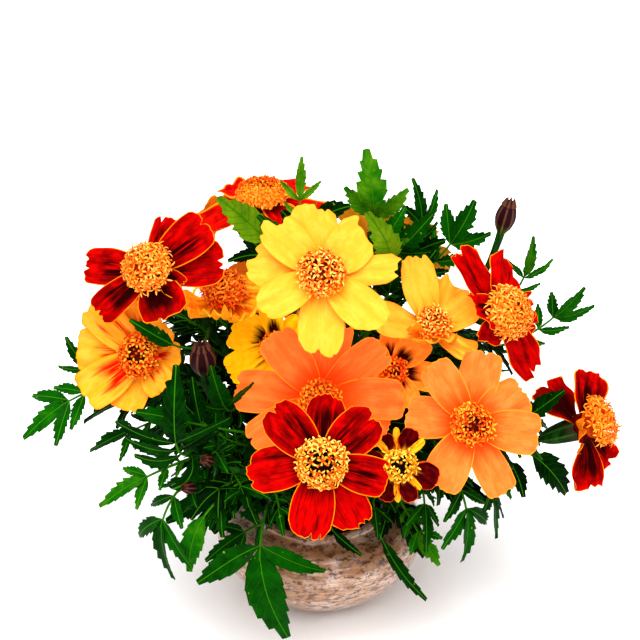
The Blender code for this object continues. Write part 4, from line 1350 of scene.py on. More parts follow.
@dataclass
class Corolla:
    """The ray petals of a bloom, on the pad that carries them."""

    bloom: Bloom
    seed: int
    columns: int = 25
    rows: int = 15
    strap_width: float = 7.2
    strap_columns: int = 13
    strap_rows: int = 11
    widest_at: float = 0.8
    end_taper: float = 0.06
    cup: float = 0.05
    thickness: float = 0.34
    pad: tuple[tuple[float, float], ...] = (
        (0.3, -1.5), (3.6, -1.4), (4.6, -0.9), (4.9, 0.1), (4.2, 1.3), (0.3, 1.7),
    )
    pad_sides: int = 24

    def reach(self, index: int, across: Array, rng: np.random.Generator) -> tuple[Array, Array]:
        """The outline of a petal's end.

        Args:
            index: which petal it is.
            across: places across the petal, from -1 to 1.
            rng: its source of chance.

        Returns:
            How far the petal reaches there, and how much its notches take off.
        """
        style = self.bloom.style
        length = self.bloom.petals[index][1]
        waves = rng.uniform(2.0, 3.4)
        scallop = style.scallop * (0.5 - 0.5 * np.cos(2 * np.pi * (waves * across + rng.random())))
        given = style.ends[index] if index < len(style.ends) else ()
        if given:
            places, shares = np.array(given).T
            outline = np.interp(across, places, shares)
        else:
            outline = style.rounding * (1 - (1 - np.abs(0.98 * across) ** 3) ** (1 / 3))
        cut = np.zeros_like(across)
        for spot in rng.uniform(-0.62, 0.62, style.notches):
            width = rng.uniform(0.05, 0.11)
            cut += rng.uniform(0.4, 1.3) * np.exp(-((across - spot) / width) ** 2)
        return length * (1 - outline - scallop), cut * style.notch_depth * length

    def petal(self, draft: MeshDraft, head: HeadFrame, index: int) -> None:
        """Adds one petal.

        Args:
            draft: the mesh that takes it.
            head: the bloom's axes.
            index: which petal of the bloom it is.
        """
        bloom, style = self.bloom, self.bloom.style
        angle, length, width = bloom.petals[index]
        rng = np.random.default_rng(self.seed * 64 + index)
        last_of_odd = index == len(bloom.petals) - 1 and index % 2 == 0
        tier = PETAL_TIERS[2 if last_of_odd else index % 2]
        rise = math.tan(math.radians(bloom.lift + PETAL_TIER_LIFT * tier))
        strap = width < self.strap_width
        columns = self.strap_columns if strap else self.columns
        rows = self.strap_rows if strap else self.rows
        across, along = np.meshgrid(np.linspace(-1, 1, columns), np.linspace(0, 1, rows))
        swell = np.sin(np.pi / 2 * np.minimum(along / self.widest_at, 1)) ** style.fullness
        breadth = (style.claw + (1 - style.claw) * swell) * (1 - self.end_taper * along ** 5)
        reach, cut = self.reach(index, across, rng)
        out = PETAL_ROOT_RADIUS + (reach - PETAL_ROOT_RADIUS) * along - cut * along ** 6
        half = width / 2 * breadth
        lean = rng.uniform(-0.06, 0.06) * width
        side = across * half + lean * along ** 2
        phases = rng.uniform(0, 2 * np.pi, 4)
        aside = np.abs(across)
        height = tier + (out - PETAL_ROOT_RADIUS) * rise
        height = height + bloom.curl * length * along ** 2 + self.cup * width * across ** 2 * along
        rib_wave = np.cos(np.pi * across * rng.uniform(2.2, 3.2) + phases[0])
        height = height + style.ribs * rib_wave * eased(0.1, 0.6, along)
        height = height - style.ribs * 0.9 * np.exp(-(across / 0.14) ** 2) * np.sin(np.pi * along)
        edge_wave = aside ** 3 * np.sin(2 * np.pi * rng.uniform(1.1, 1.8) * along + phases[1] + across)
        end_wave = along ** 4 * np.sin(np.pi * rng.uniform(1.6, 2.8) * across + phases[2])
        height = height + style.ruffle * (edge_wave * along + end_wave)
        height = height + rng.uniform(-1, 1) * style.twist * across * along * width / 2
        height = height - style.droop * length * eased(0.45, 1.0, along) ** 2
        low_side = -math.sin(math.radians(angle))
        height = height + style.cupping * low_side * length * eased(0.35, 1.0, along) ** 2
        if style.roll:
            bend = style.roll * (1 - eased(0.45, 0.95, along)) + 0.001
            side = half * np.sin(across * bend) / bend
            height = height - half * (1 - np.cos(across * bend)) / bend
        thick = self.thickness * (1 - 0.45 * along) * (1 - 0.35 * aside ** 2)
        spin = math.radians(style.turns[index] if style.turns else 0.0) * eased(0.05, 0.75, along)
        tilt = math.radians(style.tilts[index] if style.tilts else 0.0)
        turn = math.radians(angle)
        faces = []
        for lift in (thick / 2, -thick / 2):
            beyond = out - PETAL_ROOT_RADIUS
            beside = side * np.cos(spin) - lift * np.sin(spin)
            above = height + side * np.sin(spin) + lift * np.cos(spin)
            far = PETAL_ROOT_RADIUS + beyond * math.cos(tilt) - above * math.sin(tilt)
            above = beyond * math.sin(tilt) + above * math.cos(tilt)
            x = far * math.cos(turn) - beside * math.sin(turn)
            y = far * math.sin(turn) + beside * math.cos(turn)
            faces.append(head.world(x, y, above))
        edge = np.minimum((1 - aside) * half, (1 - along) * (reach - PETAL_ROOT_RADIUS))
        dark = style.darkness[index] if style.darkness else rng.uniform(0.3, 0.7)
        draft.add_sheet(*faces, along=along, across=across, edge=edge, seed=rng.random(), dark=dark)

    def build(self, material: bpy.types.Material) -> bpy.types.Object:
        """The petals' piece.

        Args:
            material: their finish.

        Returns:
            The piece, in place of the plain petals.
        """
        head = HeadFrame(self.bloom)
        draft = MeshDraft("along", "across", "edge", "under", "seed", "dark")
        for index in range(len(self.bloom.petals)):
            self.petal(draft, head, index)
        angles = np.arange(self.pad_sides) * 2 * np.pi / self.pad_sides
        radius, height = np.array(self.pad).T[:, :, None]
        rings = head.world(radius * np.cos(angles), radius * np.sin(angles), height)
        draft.add_loft(rings, along=0.0, across=0.0, edge=2.0, under=0.0, seed=0.5, dark=0.5)
        piece = draft.build("petals_" + self.bloom.name, material, 60.0)
        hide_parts(self.bloom.name + "_petals")
        return piece


@dataclass
class FloretHead:
    """The domed head of disc florets, open trumpets round closed ones, on a dark core, partly its own colour
    and partly painted shade.
    """

    bloom: Bloom
    seed: int
    lobes: int = 5
    bottom: float = 2.0
    inner_share: float = 0.46
    core_sides: int = 20
    neck: float = 0.4
    tube: tuple[tuple[float, float, float], ...] = (
        (0.0, 0.8, 0.0), (0.6, 0.95, 0.3), (1.0, 1.25, 0.6), (1.0, 0.8, 0.5), (0.8, 0.4, 0.1),
    )
    lobe_shape: tuple[tuple[float, float], ...] = ((0.0, 0.7), (0.34, 1.0), (0.7, 0.8), (1.0, 0.16))
    pod: tuple[tuple[float, float, float], ...] = (
        (0.0, 0.7, 0.0), (0.5, 1.1, 0.4), (0.82, 1.2, 0.65), (0.96, 0.8, 0.75), (1.02, 0.25, 0.8),
    )
    tube_sides: int = 5

    def directions(self, count: int) -> Array:
        """Directions spread evenly over the head, from its middle out.

        Args:
            count: how many.

        Returns:
            Their unit vectors.
        """
        widest = math.radians(self.bloom.florets.spread)
        number = np.arange(count) + 0.5
        level = 1 - (1 - math.cos(widest)) * number / count
        ring = np.sqrt(1 - level ** 2)
        turn = number * GOLDEN_ANGLE
        return np.stack((ring * np.cos(turn), ring * np.sin(turn), level), axis=-1)

    def stations(
        self, head: HeadFrame, root: Array, tip: Array, shape: tuple, radius: Array
    ) -> tuple[Array, Array]:
        """The rings of many straight tubes.

        Args:
            head: the bloom's axes.
            root: where each tube starts, in head millimetres.
            tip: where each ends.
            shape: (share of the length, share of the radius, how far along the floret) of each ring.
            radius: each tube's radius.

        Returns:
            The rings in metres, and how far along the floret each of them is.
        """
        axis = unit(tip - root)
        across = unit(np.cross(axis, (0.2, 0.37, 0.91)))
        beside = np.cross(axis, across)
        angles = np.arange(self.tube_sides) * 2 * np.pi / self.tube_sides
        circle = across[:, None] * np.cos(angles)[:, None] + beside[:, None] * np.sin(angles)[:, None]
        share, wide, along = np.array(shape).T
        middle = root[:, None] + (tip - root)[:, None] * share[:, None]
        rings = middle[:, :, None] + circle[:, None] * (radius[:, None] * wide)[:, :, None, None]
        return head.world(*np.moveaxis(rings, -1, 0)), along[None, :, None]

    def curled_lobes(self, head: HeadFrame, root: Array, tip: Array, rng: np.random.Generator) -> Array:
        """The rings of the lobes round the mouths of open florets.

        Args:
            head: the bloom's axes.
            root: where each floret starts, in head millimetres.
            tip: the middle of its mouth.
            rng: the source of chance.

        Returns:
            The rings in metres, as lobes of rings of three corners.
        """
        style = self.bloom.florets
        axis = np.repeat(unit(tip - root), self.lobes, axis=0)
        mouth = np.repeat(tip, self.lobes, axis=0)
        across = unit(np.cross(axis, (0.2, 0.37, 0.91)))
        beside = np.cross(axis, across)
        count = len(axis)
        turn = np.repeat(rng.uniform(0, 2 * np.pi, len(root)), self.lobes)
        turn = turn + np.tile(np.arange(self.lobes) * 2 * np.pi / self.lobes, len(root))
        turn = turn + rng.normal(0, 0.16, count)
        outward = across * np.cos(turn)[:, None] + beside * np.sin(turn)[:, None]
        side = np.cross(axis, outward)
        length = style.lobe * rng.uniform(0.7, 1.25, count)
        length = length * np.repeat(rng.uniform(0.8, 1.15, len(root)), self.lobes)
        start, curl = rng.uniform(0.2, 0.7, count), rng.uniform(1.0, 2.9, count)
        here = mouth + outward * self.neck * 1.05
        rings = []
        reached = 0.0
        for share, wide in self.lobe_shape:
            bend = (start + curl * share)[:, None]
            way = axis * np.cos(bend) + outward * np.sin(bend)
            here = here + way * ((share - reached) * length)[:, None]
            reached = share
            back = np.cross(side, way)
            half = style.width / 2 * wide
            rings.append(np.stack((here - side * half, here + side * half, here + back * half * 0.8), axis=1))
        return head.world(*np.moveaxis(np.stack(rings, axis=1), -1, 0))

    def florets(self, draft: MeshDraft, head: HeadFrame) -> None:
        """Adds every floret of the head.

        Args:
            draft: the mesh that takes them.
            head: the bloom's axes.
        """
        bloom, style = self.bloom, self.bloom.florets
        rng = np.random.default_rng(self.seed * 97 + 5)
        count = round(style.crowd * bloom.head ** 2)
        way = self.directions(count)
        share = np.arange(count) / count
        wobble = rng.uniform(0.9, 1.08, count)
        hollow = style.sink * (1 - eased(0.03, 0.4, share))
        low = np.maximum(way[:, 2], -0.25)
        tip = way * bloom.head * style.stretch * wobble[:, None]
        tip[:, 2] = bloom.waist + (low * bloom.dome + 0.8) * wobble - hollow
        tip += rng.normal(0, 0.16, tip.shape)
        root = way * bloom.head * self.inner_share
        room = bloom.waist + bloom.dome - self.bottom - 2.6
        root[:, 2] = self.bottom + 0.4 + np.maximum(way[:, 2], 0) * room * 0.7
        seeds = rng.random(count)
        opened = (share > style.closed) | (rng.random(count) < 0.1)
        if (~opened).any():
            radius = rng.uniform(0.38, 0.5, (~opened).sum())
            rings, along = self.stations(head, root[~opened], tip[~opened], self.pod, radius)
            draft.add_lofts(rings, along=along, seed=seeds[~opened][:, None, None], bud=0.75)
        root, tip, seeds = root[opened], tip[opened], seeds[opened]
        rings, along = self.stations(head, root, tip, self.tube, np.full(len(root), self.neck))
        draft.add_lofts(rings, along=along, seed=seeds[:, None, None], bud=0.0)
        inner = tip - unit(tip - root) * 0.4
        outer = tip + unit(tip - root) * rng.uniform(0.1, 0.8, len(tip))[:, None]
        rings, along = self.stations(head, inner, outer, self.pod, np.full(len(root), 0.16))
        draft.add_lofts(rings, along=along, seed=seeds[:, None, None], bud=1.0)
        reached = 0.62 + 0.38 * np.array([share for share, _ in self.lobe_shape])[None, :, None]
        rings = self.curled_lobes(head, root, tip, rng)
        lobe_seeds = np.repeat(seeds, self.lobes) + rng.uniform(-0.2, 0.2, len(rings))
        draft.add_lofts(rings, along=reached, seed=lobe_seeds[:, None, None], bud=0.0)

    def core(self, draft: MeshDraft, head: HeadFrame) -> None:
        """Adds the dark core that the florets stand on, partly its own colour and partly painted shade
        between them.

        Args:
            draft: the mesh that takes it.
            head: the bloom's axes.
        """
        bloom = self.bloom
        low, top = self.bottom, bloom.waist + bloom.dome - 1.6 - bloom.florets.sink
        middle = (top + low + 1) / 2
        profile = ((0.3, low), (0.5, low), (0.72, low + 0.9), (0.6, middle), (0.3, top - 0.2), (0.04, top))
        share, height = smooth_profile(profile, 3).T[:, :, None]
        angles = np.arange(self.core_sides) * 2 * np.pi / self.core_sides
        radius = share * bloom.head * 0.92
        rings = head.world(radius * np.cos(angles), radius * np.sin(angles), height)
        draft.add_loft(rings, along=0.05, seed=0.5, bud=0.0)

    def build(self, material: bpy.types.Material) -> bpy.types.Object:
        """The florets' piece.

        Args:
            material: their finish.

        Returns:
            The piece, in place of the plain florets.
        """
        head = HeadFrame(self.bloom)
        draft = MeshDraft("along", "seed", "bud")
        self.core(draft, head)
        self.florets(draft, head)
        piece = draft.build("florets_" + self.bloom.name, material, 65.0)
        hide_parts(self.bloom.name + "_florets")
        return piece


class StemPath:
    """A stem: upright in the water, then one smooth bend to its end."""

    def __init__(self, foot: tuple[Ring, int], end: Array, end_direction: Array) -> None:
        """Lays the stem out.

        Args:
            foot: its ring, and its place on it.
            end: where it ends, in millimetres.
            end_direction: the unit vector along which it ends.
        """
        base = foot_place(foot)
        self.start = base + UP * STEM_FOOT_HEIGHT
        low = base + UP * STEM_FREE_HEIGHT
        span = np.linalg.norm(end - low)
        self.controls = np.array((low, low + UP * span * 0.4, end - end_direction * span * 0.25, end))

    @classmethod
    def of(cls, grown: Bloom | Spray) -> "StemPath":
        """The path of a bloom's or a spray's stem.

        Args:
            grown: the bloom or spray.

        Returns:
            Its path, up to the foot of the calyx on a bloom.
        """
        axis = heading(*grown.facing)
        if isinstance(grown, Bloom):
            return cls(grown.foot, np.array(grown.centre) + axis * (CALYX_TOP - grown.calyx), axis)
        return cls(grown.foot, np.array(grown.end, float), axis)

    def at(self, share: float) -> Array:
        """The place at a share of the bend."""
        return bezier(self.controls, np.array((share,)))[0]


@dataclass
class Stalk:
    """A green stem with its calyx and its buds' side shoots."""

    grown: Bloom | Spray
    radius: float = 1.25
    spans: int = 30
    sides: int = 14
    ridges: int = 7
    ridge_depth: float = 0.07
    joint_swell: float = 0.35
    calyx_shape: tuple[tuple[float, float], ...] = (
        (-0.03, 1.2), (0.06, 1.9), (0.2, 2.85), (0.4, 3.55), (0.62, 4.0), (0.85, 4.35), (1.0, 4.6),
    )
    calyx_lip: tuple[tuple[float, float], ...] = ((4.35, 0.25), (3.9, 0.9), (3.0, 1.3))
    calyx_ribs: int = 8
    calyx_sides: int = 48
    tooth: float = 1.25
    shoot_radii: tuple[float, float] = (0.9, 1.5)

    def stem(self, draft: MeshDraft) -> None:
        """Adds the stem, a little thicker at each joint.

        Args:
            draft: the mesh that takes it.
        """
        path = StemPath.of(self.grown)
        shares = np.linspace(0, 1, self.spans)
        points = np.vstack((path.start, bezier(path.controls, shares)))
        radii = np.full(len(points), self.radius)
        for leaf in (*self.grown.leaves, *self.grown.buds):
            radii[1:] *= 1 + self.joint_swell * np.exp(-((shares - leaf.at) / 0.025) ** 2)
        rings = tube_rings(points, radii, self.sides, self.ridges, self.ridge_depth)
        ribs = np.cos(self.ridges * np.arange(self.sides) * 2 * np.pi / self.sides)
        draft.add_loft(rings, rib=ribs * 0.4, blush=0.0)

    def calyx(self, draft: MeshDraft) -> None:
        """Adds the ribbed cup that holds the petals, with its teeth.

        Args:
            draft: the mesh that takes it.
        """
        bloom = self.grown
        head = HeadFrame(bloom)
        profile = smooth_profile(self.calyx_shape, 2)
        angles = np.arange(self.calyx_sides) * 2 * np.pi / self.calyx_sides
        wave = np.cos(self.calyx_ribs * angles)
        teeth = np.abs(((self.calyx_ribs * angles / np.pi) % 2) - 1) * self.tooth
        foot = CALYX_TOP - bloom.calyx
        radius, height, rib, blush = [], [], [], []
        for share, width in profile:
            radius.append(width * (1 + 0.06 * share * wave))
            height.append(foot + bloom.calyx * share + teeth * eased(0.75, 1.0, np.array(share)) * 0.75)
            rib.append(wave)
            blush.append(np.full_like(wave, max(share, 0) ** 2 * 0.7))
        for width, drop in self.calyx_lip:
            radius.append(np.full_like(wave, width))
            height.append(CALYX_TOP - drop + teeth * 0.75 * (1 - drop / self.calyx_lip[-1][1]))
            rib.append(wave)
            blush.append(np.full_like(wave, 0.7))
        radius, height = np.array(radius), np.array(height)
        rings = head.world(radius * np.cos(angles), radius * np.sin(angles), height)
        draft.add_loft(rings, rib=np.array(rib), blush=np.array(blush))

    def shoot(self, draft: MeshDraft, bud: Bud) -> None:
        """Adds the side shoot that carries a bud.

        Args:
            draft: the mesh that takes it.
            bud: the bud.
        """
        root = StemPath.of(self.grown).at(bud.at)
        axis = heading(*bud.facing)
        end = np.array(bud.base) + axis * 0.4
        controls = np.array((root, end - axis * np.linalg.norm(end - root) * 0.5, end))
        shares = np.linspace(0, 1, 14)
        thin, thick = (radius * bud.size ** 0.5 for radius in self.shoot_radii)
        radii = thin + (thick - thin) * shares ** 3
        rings = tube_rings(bezier(controls, shares), radii, 12, 6, 0.05)
        draft.add_loft(rings, rib=0.0, blush=0.0)

    def build(self, material: bpy.types.Material) -> bpy.types.Object:
        """The stem's piece.

        Args:
            material: its finish.

        Returns:
            The piece, which with its leaves stands in place of the plain green solid.
        """
        draft = MeshDraft("rib", "blush")
        self.stem(draft)
        if isinstance(self.grown, Bloom):
            self.calyx(draft)
        for bud in self.grown.buds:
            self.shoot(draft, bud)
        piece = draft.build("stem_" + self.grown.name, material)
        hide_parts(green_node(self.grown))
        return piece


def green_node(grown: Bloom | Spray) -> str:
    """The frame's node for a stem and its leaves."""
    return grown.name + "_stem" if isinstance(grown, Bloom) else grown.name


@dataclass
class BudPiece:
    """A closed bud: a ribbed pod with teeth round its closed top."""

    bud: Bud
    length: float = 12.5
    ribs: int = 8
    sides: int = 48
    shape: tuple[tuple[float, float], ...] = (
        (0.0, 1.5), (0.1, 2.25), (0.2, 2.9), (0.46, 3.6), (0.72, 3.1), (0.88, 2.1), (0.95, 1.5), (1.0, 0.8),
    )
    bract_tip: tuple[tuple[float, float, float], ...] = (
        (0.84, 2.1, 0.75), (0.95, 1.75, 0.5), (1.06, 1.5, 0.08),
    )

    def build(self, material: bpy.types.Material) -> bpy.types.Object:
        """The bud's piece.

        Args:
            material: its finish.

        Returns:
            The piece, in place of the plain bud.
        """
        bud = self.bud
        draft = MeshDraft("rib", "blush")
        axis = heading(*bud.facing)
        across = unit(np.cross(axis, (0.31, 0.82, 0.47)))
        beside = np.cross(axis, across)
        angles = np.arange(self.sides) * 2 * np.pi / self.sides
        circle = np.outer(np.cos(angles), across) + np.outer(np.sin(angles), beside)
        wave = np.cos(self.ribs * angles)
        groove = np.minimum(wave + 0.35, 0.0)
        rings, rib, blush = [], [], []
        for share, radius in smooth_profile(self.shape, 4):
            swell = 1 + 0.1 * groove * math.sin(math.pi * min(max(share, 0.0), 1.0)) ** 0.5
            swell = swell + 0.16 * groove * eased(0.82, 1.0, np.array(share))
            ring = circle * (radius * bud.size * bud.plump * swell)[:, None]
            rings.append(np.array(bud.base) + axis * share * self.length * bud.size + ring)
            rib.append(wave)
            blush.append(np.full_like(wave, 0.1 + 0.9 * eased(0.05, 0.45, np.array(share))))
        draft.add_loft(np.array(rings) * MM, rib=np.array(rib), blush=np.array(blush))
        for number in range(self.ribs):
            out = circle[number * self.sides // self.ribs] * bud.size * bud.plump
            rise = axis * self.length * bud.size
            path = [rise * up + out * aside for up, aside, _ in self.bract_tip]
            radii = np.array([radius for *_, radius in self.bract_tip]) * bud.size
            draft.add_loft(tube_rings(np.array(path) + np.array(bud.base), radii, 8), rib=0.8, blush=1.0)
        piece = draft.build("pod_" + bud.name, material)
        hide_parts(bud.name)
        return piece


@dataclass
class LeafSheet:
    """A pinnate leaf laid out along its rib and bent along its path."""

    leaf: Leaf
    root: Array
    teeth: int = 7
    columns: int = 5
    rib_radius: float = 0.62
    rib_steps: int = 14
    rib_sides: int = 7
    spacing: float = 0.6
    terminal: float = 1.25
    fall: float = 0.012
    thickness: float = 0.26
    crowding: float = 1.1
    controls: Array = field(init=False)
    normal: Array = field(init=False)
    length: float = field(init=False)
    stalk: float = field(init=False)

    def __post_init__(self) -> None:
        """Works out the leaf's path, its length and the way its upper side faces."""
        via, tip = np.array(self.leaf.via, float), np.array(self.leaf.tip, float)
        before, after = np.linalg.norm(via - self.root), np.linalg.norm(tip - via)
        share = before / (before + after)
        middle = (via - self.root * (1 - share) ** 2 - tip * share ** 2) / (2 * share * (1 - share))
        self.controls = np.array((self.root, middle, tip))
        outward = unit(via - UP * HEART_HEIGHT) + UP * 0.6
        self.normal = heading(*self.leaf.face) if self.leaf.face else unit(outward)
        steps = bezier(self.controls, np.linspace(0, 1, 17))
        self.length = float(np.linalg.norm(np.diff(steps, axis=0), axis=1).sum())
        self.stalk = self.length * share

    def place(self, along: Array, across: Array, height: Array) -> Array:
        """From flat millimetres to the bent surface, in metres.

        Args:
            along: how far along the leaf.
            across: how far to the side of its rib.
            height: how far above it.

        Returns:
            The places, in the shape of the three.
        """
        shape = np.broadcast_shapes(np.shape(along), np.shape(across), np.shape(height))
        flat = [np.broadcast_to(value, shape).reshape(-1, 1) for value in (along, across, height)]
        along, across, height = flat
        share = np.clip(along / self.length, 0, 1)
        here = bezier(self.controls, share)
        ahead = bezier(self.controls, np.minimum(share + 0.02, 1))
        behind = bezier(self.controls, np.maximum(share - 0.02, 0))
        tangent = unit(ahead - behind)
        side = unit(np.cross(tangent, self.normal))
        face = np.cross(side, tangent)
        beyond = tangent * (along - share * self.length)
        bent = here + beyond + side * across + face * (height - across * across * self.fall)
        return bent.reshape(*shape, 3) * MM

    def leaflet(
        self, draft: MeshDraft, base: tuple[float, float], angle: float, length: float, width: float,
        side: float, rng: np.random.Generator,
    ) -> None:
        """Adds one leaflet, a folded lance with forward teeth.

        Args:
            draft: the mesh that takes it.
            base: where it leaves the rib, along and across.
            angle: its lean from the rib.
            length: its length.
            width: its width.
            side: 1 or -1, the side of the rib that it is on.
            rng: its source of chance.
        """
        rows = 2 * self.teeth + 1
        across, along = np.meshgrid(np.linspace(-1, 1, self.columns), np.linspace(0, 1, rows))
        body = np.sin(np.pi * along ** 0.78) ** 0.9
        cut = rng.uniform(0.1, 1.0, (rows, 2)) * self.leaf.teeth
        cut[1::2] = 0
        point = 1 - np.where(across < 0, cut[:, :1], cut[:, 1:])
        aside = np.abs(across)
        half = width / 2 * np.maximum(body, 0) * (1 + (point - 1) * aside ** 2) + 0.16
        forward = (np.arange(rows) % 2)[:, None] * 0.9 * length / rows * aside ** 2
        turn = math.radians(angle + rng.uniform(-5, 5))
        ahead = np.array((math.cos(turn), math.sin(turn) * side))
        inward = np.array((math.sin(turn), -math.cos(turn) * side))
        reach = along * length + forward
        offset = across * half
        bow = rng.uniform(0.02, 0.1) * length * along ** 2
        flat_along = base[0] + ahead[0] * reach + inward[0] * (offset + bow)
        flat_across = base[1] + ahead[1] * reach + inward[1] * (offset + bow)
        fold = rng.uniform(0.15, 0.4) * np.abs(offset)
        hang = -rng.uniform(0.0, 0.14) * length * along ** 2
        hang = hang + math.tan(math.radians(rng.uniform(-5, 9))) * reach
        ripple = rng.uniform(0.1, 0.4) * aside * np.sin(2 * np.pi * 1.6 * along + rng.random() * 6)
        height = fold + hang + ripple
        tone = self.leaf.tone + rng.uniform(-0.1, 0.1)
        draft.add_sheet(
            self.place(flat_along, flat_across, height),
            self.place(flat_along, flat_across, height - self.thickness),
            along=along, across=across, side=offset, tone=tone,
        )

    def rib(self, draft: MeshDraft, end: float) -> None:
        """Adds the leaf's stalk and rib, up to a distance along it.

        Args:
            draft: the mesh that takes it.
            end: the distance.
        """
        steps = np.linspace(0, end, self.rib_steps)
        points = self.place(steps, 0.0, -0.25) / MM
        radii = self.rib_radius * (1.15 - 0.6 * np.linspace(0, 1, self.rib_steps))
        rings = tube_rings(points, radii, self.rib_sides)
        draft.add_loft(rings, along=0.5, across=0.0, side=0.16, tone=self.leaf.tone, under=0.0)

    def grow(self, draft: MeshDraft, rng: np.random.Generator) -> None:
        """Adds the whole leaf.

        Args:
            draft: the mesh that takes it.
            rng: its source of chance.
        """
        leaf = self.leaf
        ending = leaf.leaflet * self.terminal
        last = self.length - ending
        gaps = max(leaf.pairs - 1, 1)
        back = min(last - self.stalk, leaf.leaflet * self.spacing * gaps)
        first = last - back if leaf.pairs > 1 else last
        places = [(first + (last - first) * i / gaps, 0.8 + 0.2 * i / gaps) for i in range(leaf.pairs)]
        lower = first - leaf.leaflet * 0.52
        size = leaf.lower
        while leaf.pairs and lower > 3.5 and size > 0.25:
            places.append((lower, size))
            lower -= leaf.leaflet * 0.42
            size *= 0.68
        widest = (last - first) / gaps * math.sin(math.radians(leaf.lean)) * self.crowding
        for place, share in places:
            size = leaf.leaflet * share
            width = size * leaf.slender
            if leaf.pairs > 1:
                width = min(width, widest)
            for side in (1.0, -1.0):
                grown = size * rng.uniform(0.92, 1.04)
                self.leaflet(draft, (place, 0.3 * side), leaf.lean, grown, width, side, rng)
        self.rib(draft, last + ending * 0.15)
        self.leaflet(draft, (last, 0.0), 0.0, ending, ending * leaf.slender, 1.0, rng)


LEAF_CHANNELS = ("along", "across", "side", "tone", "under")


@dataclass
class Foliage:
    """The leaves of one stem."""

    grown: Bloom | Spray
    seed: int

    def build(self, material: bpy.types.Material) -> bpy.types.Object | None:
        """The leaves' piece.

        Args:
            material: their finish.

        Returns:
            The piece, or None where the stem has no leaf.
        """
        if not self.grown.leaves:
            return None
        draft = MeshDraft(*LEAF_CHANNELS)
        path = StemPath.of(self.grown)
        rng = np.random.default_rng(self.seed * 131 + 7)
        for leaf in (*self.grown.leaves, *EXTRA_LEAVES.get(self.grown.name, ())):
            LeafSheet(leaf, path.at(leaf.at)).grow(draft, rng)
        piece = draft.build("leaves_" + self.grown.name, material)
        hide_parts(green_node(self.grown))
        return piece


CAMERA_AIM = Vector((0.0, 0.0, 0.113))
CAMERA_DISTANCE = 0.56
CAMERA_ELEVATION = 28.0
CAMERA_LENS = 88.73


def camera_place() -> Vector:
    """Where the camera stands."""
    rise = math.radians(CAMERA_ELEVATION)
    return CAMERA_AIM + Vector((0.0, -math.cos(rise), math.sin(rise))) * CAMERA_DISTANCE


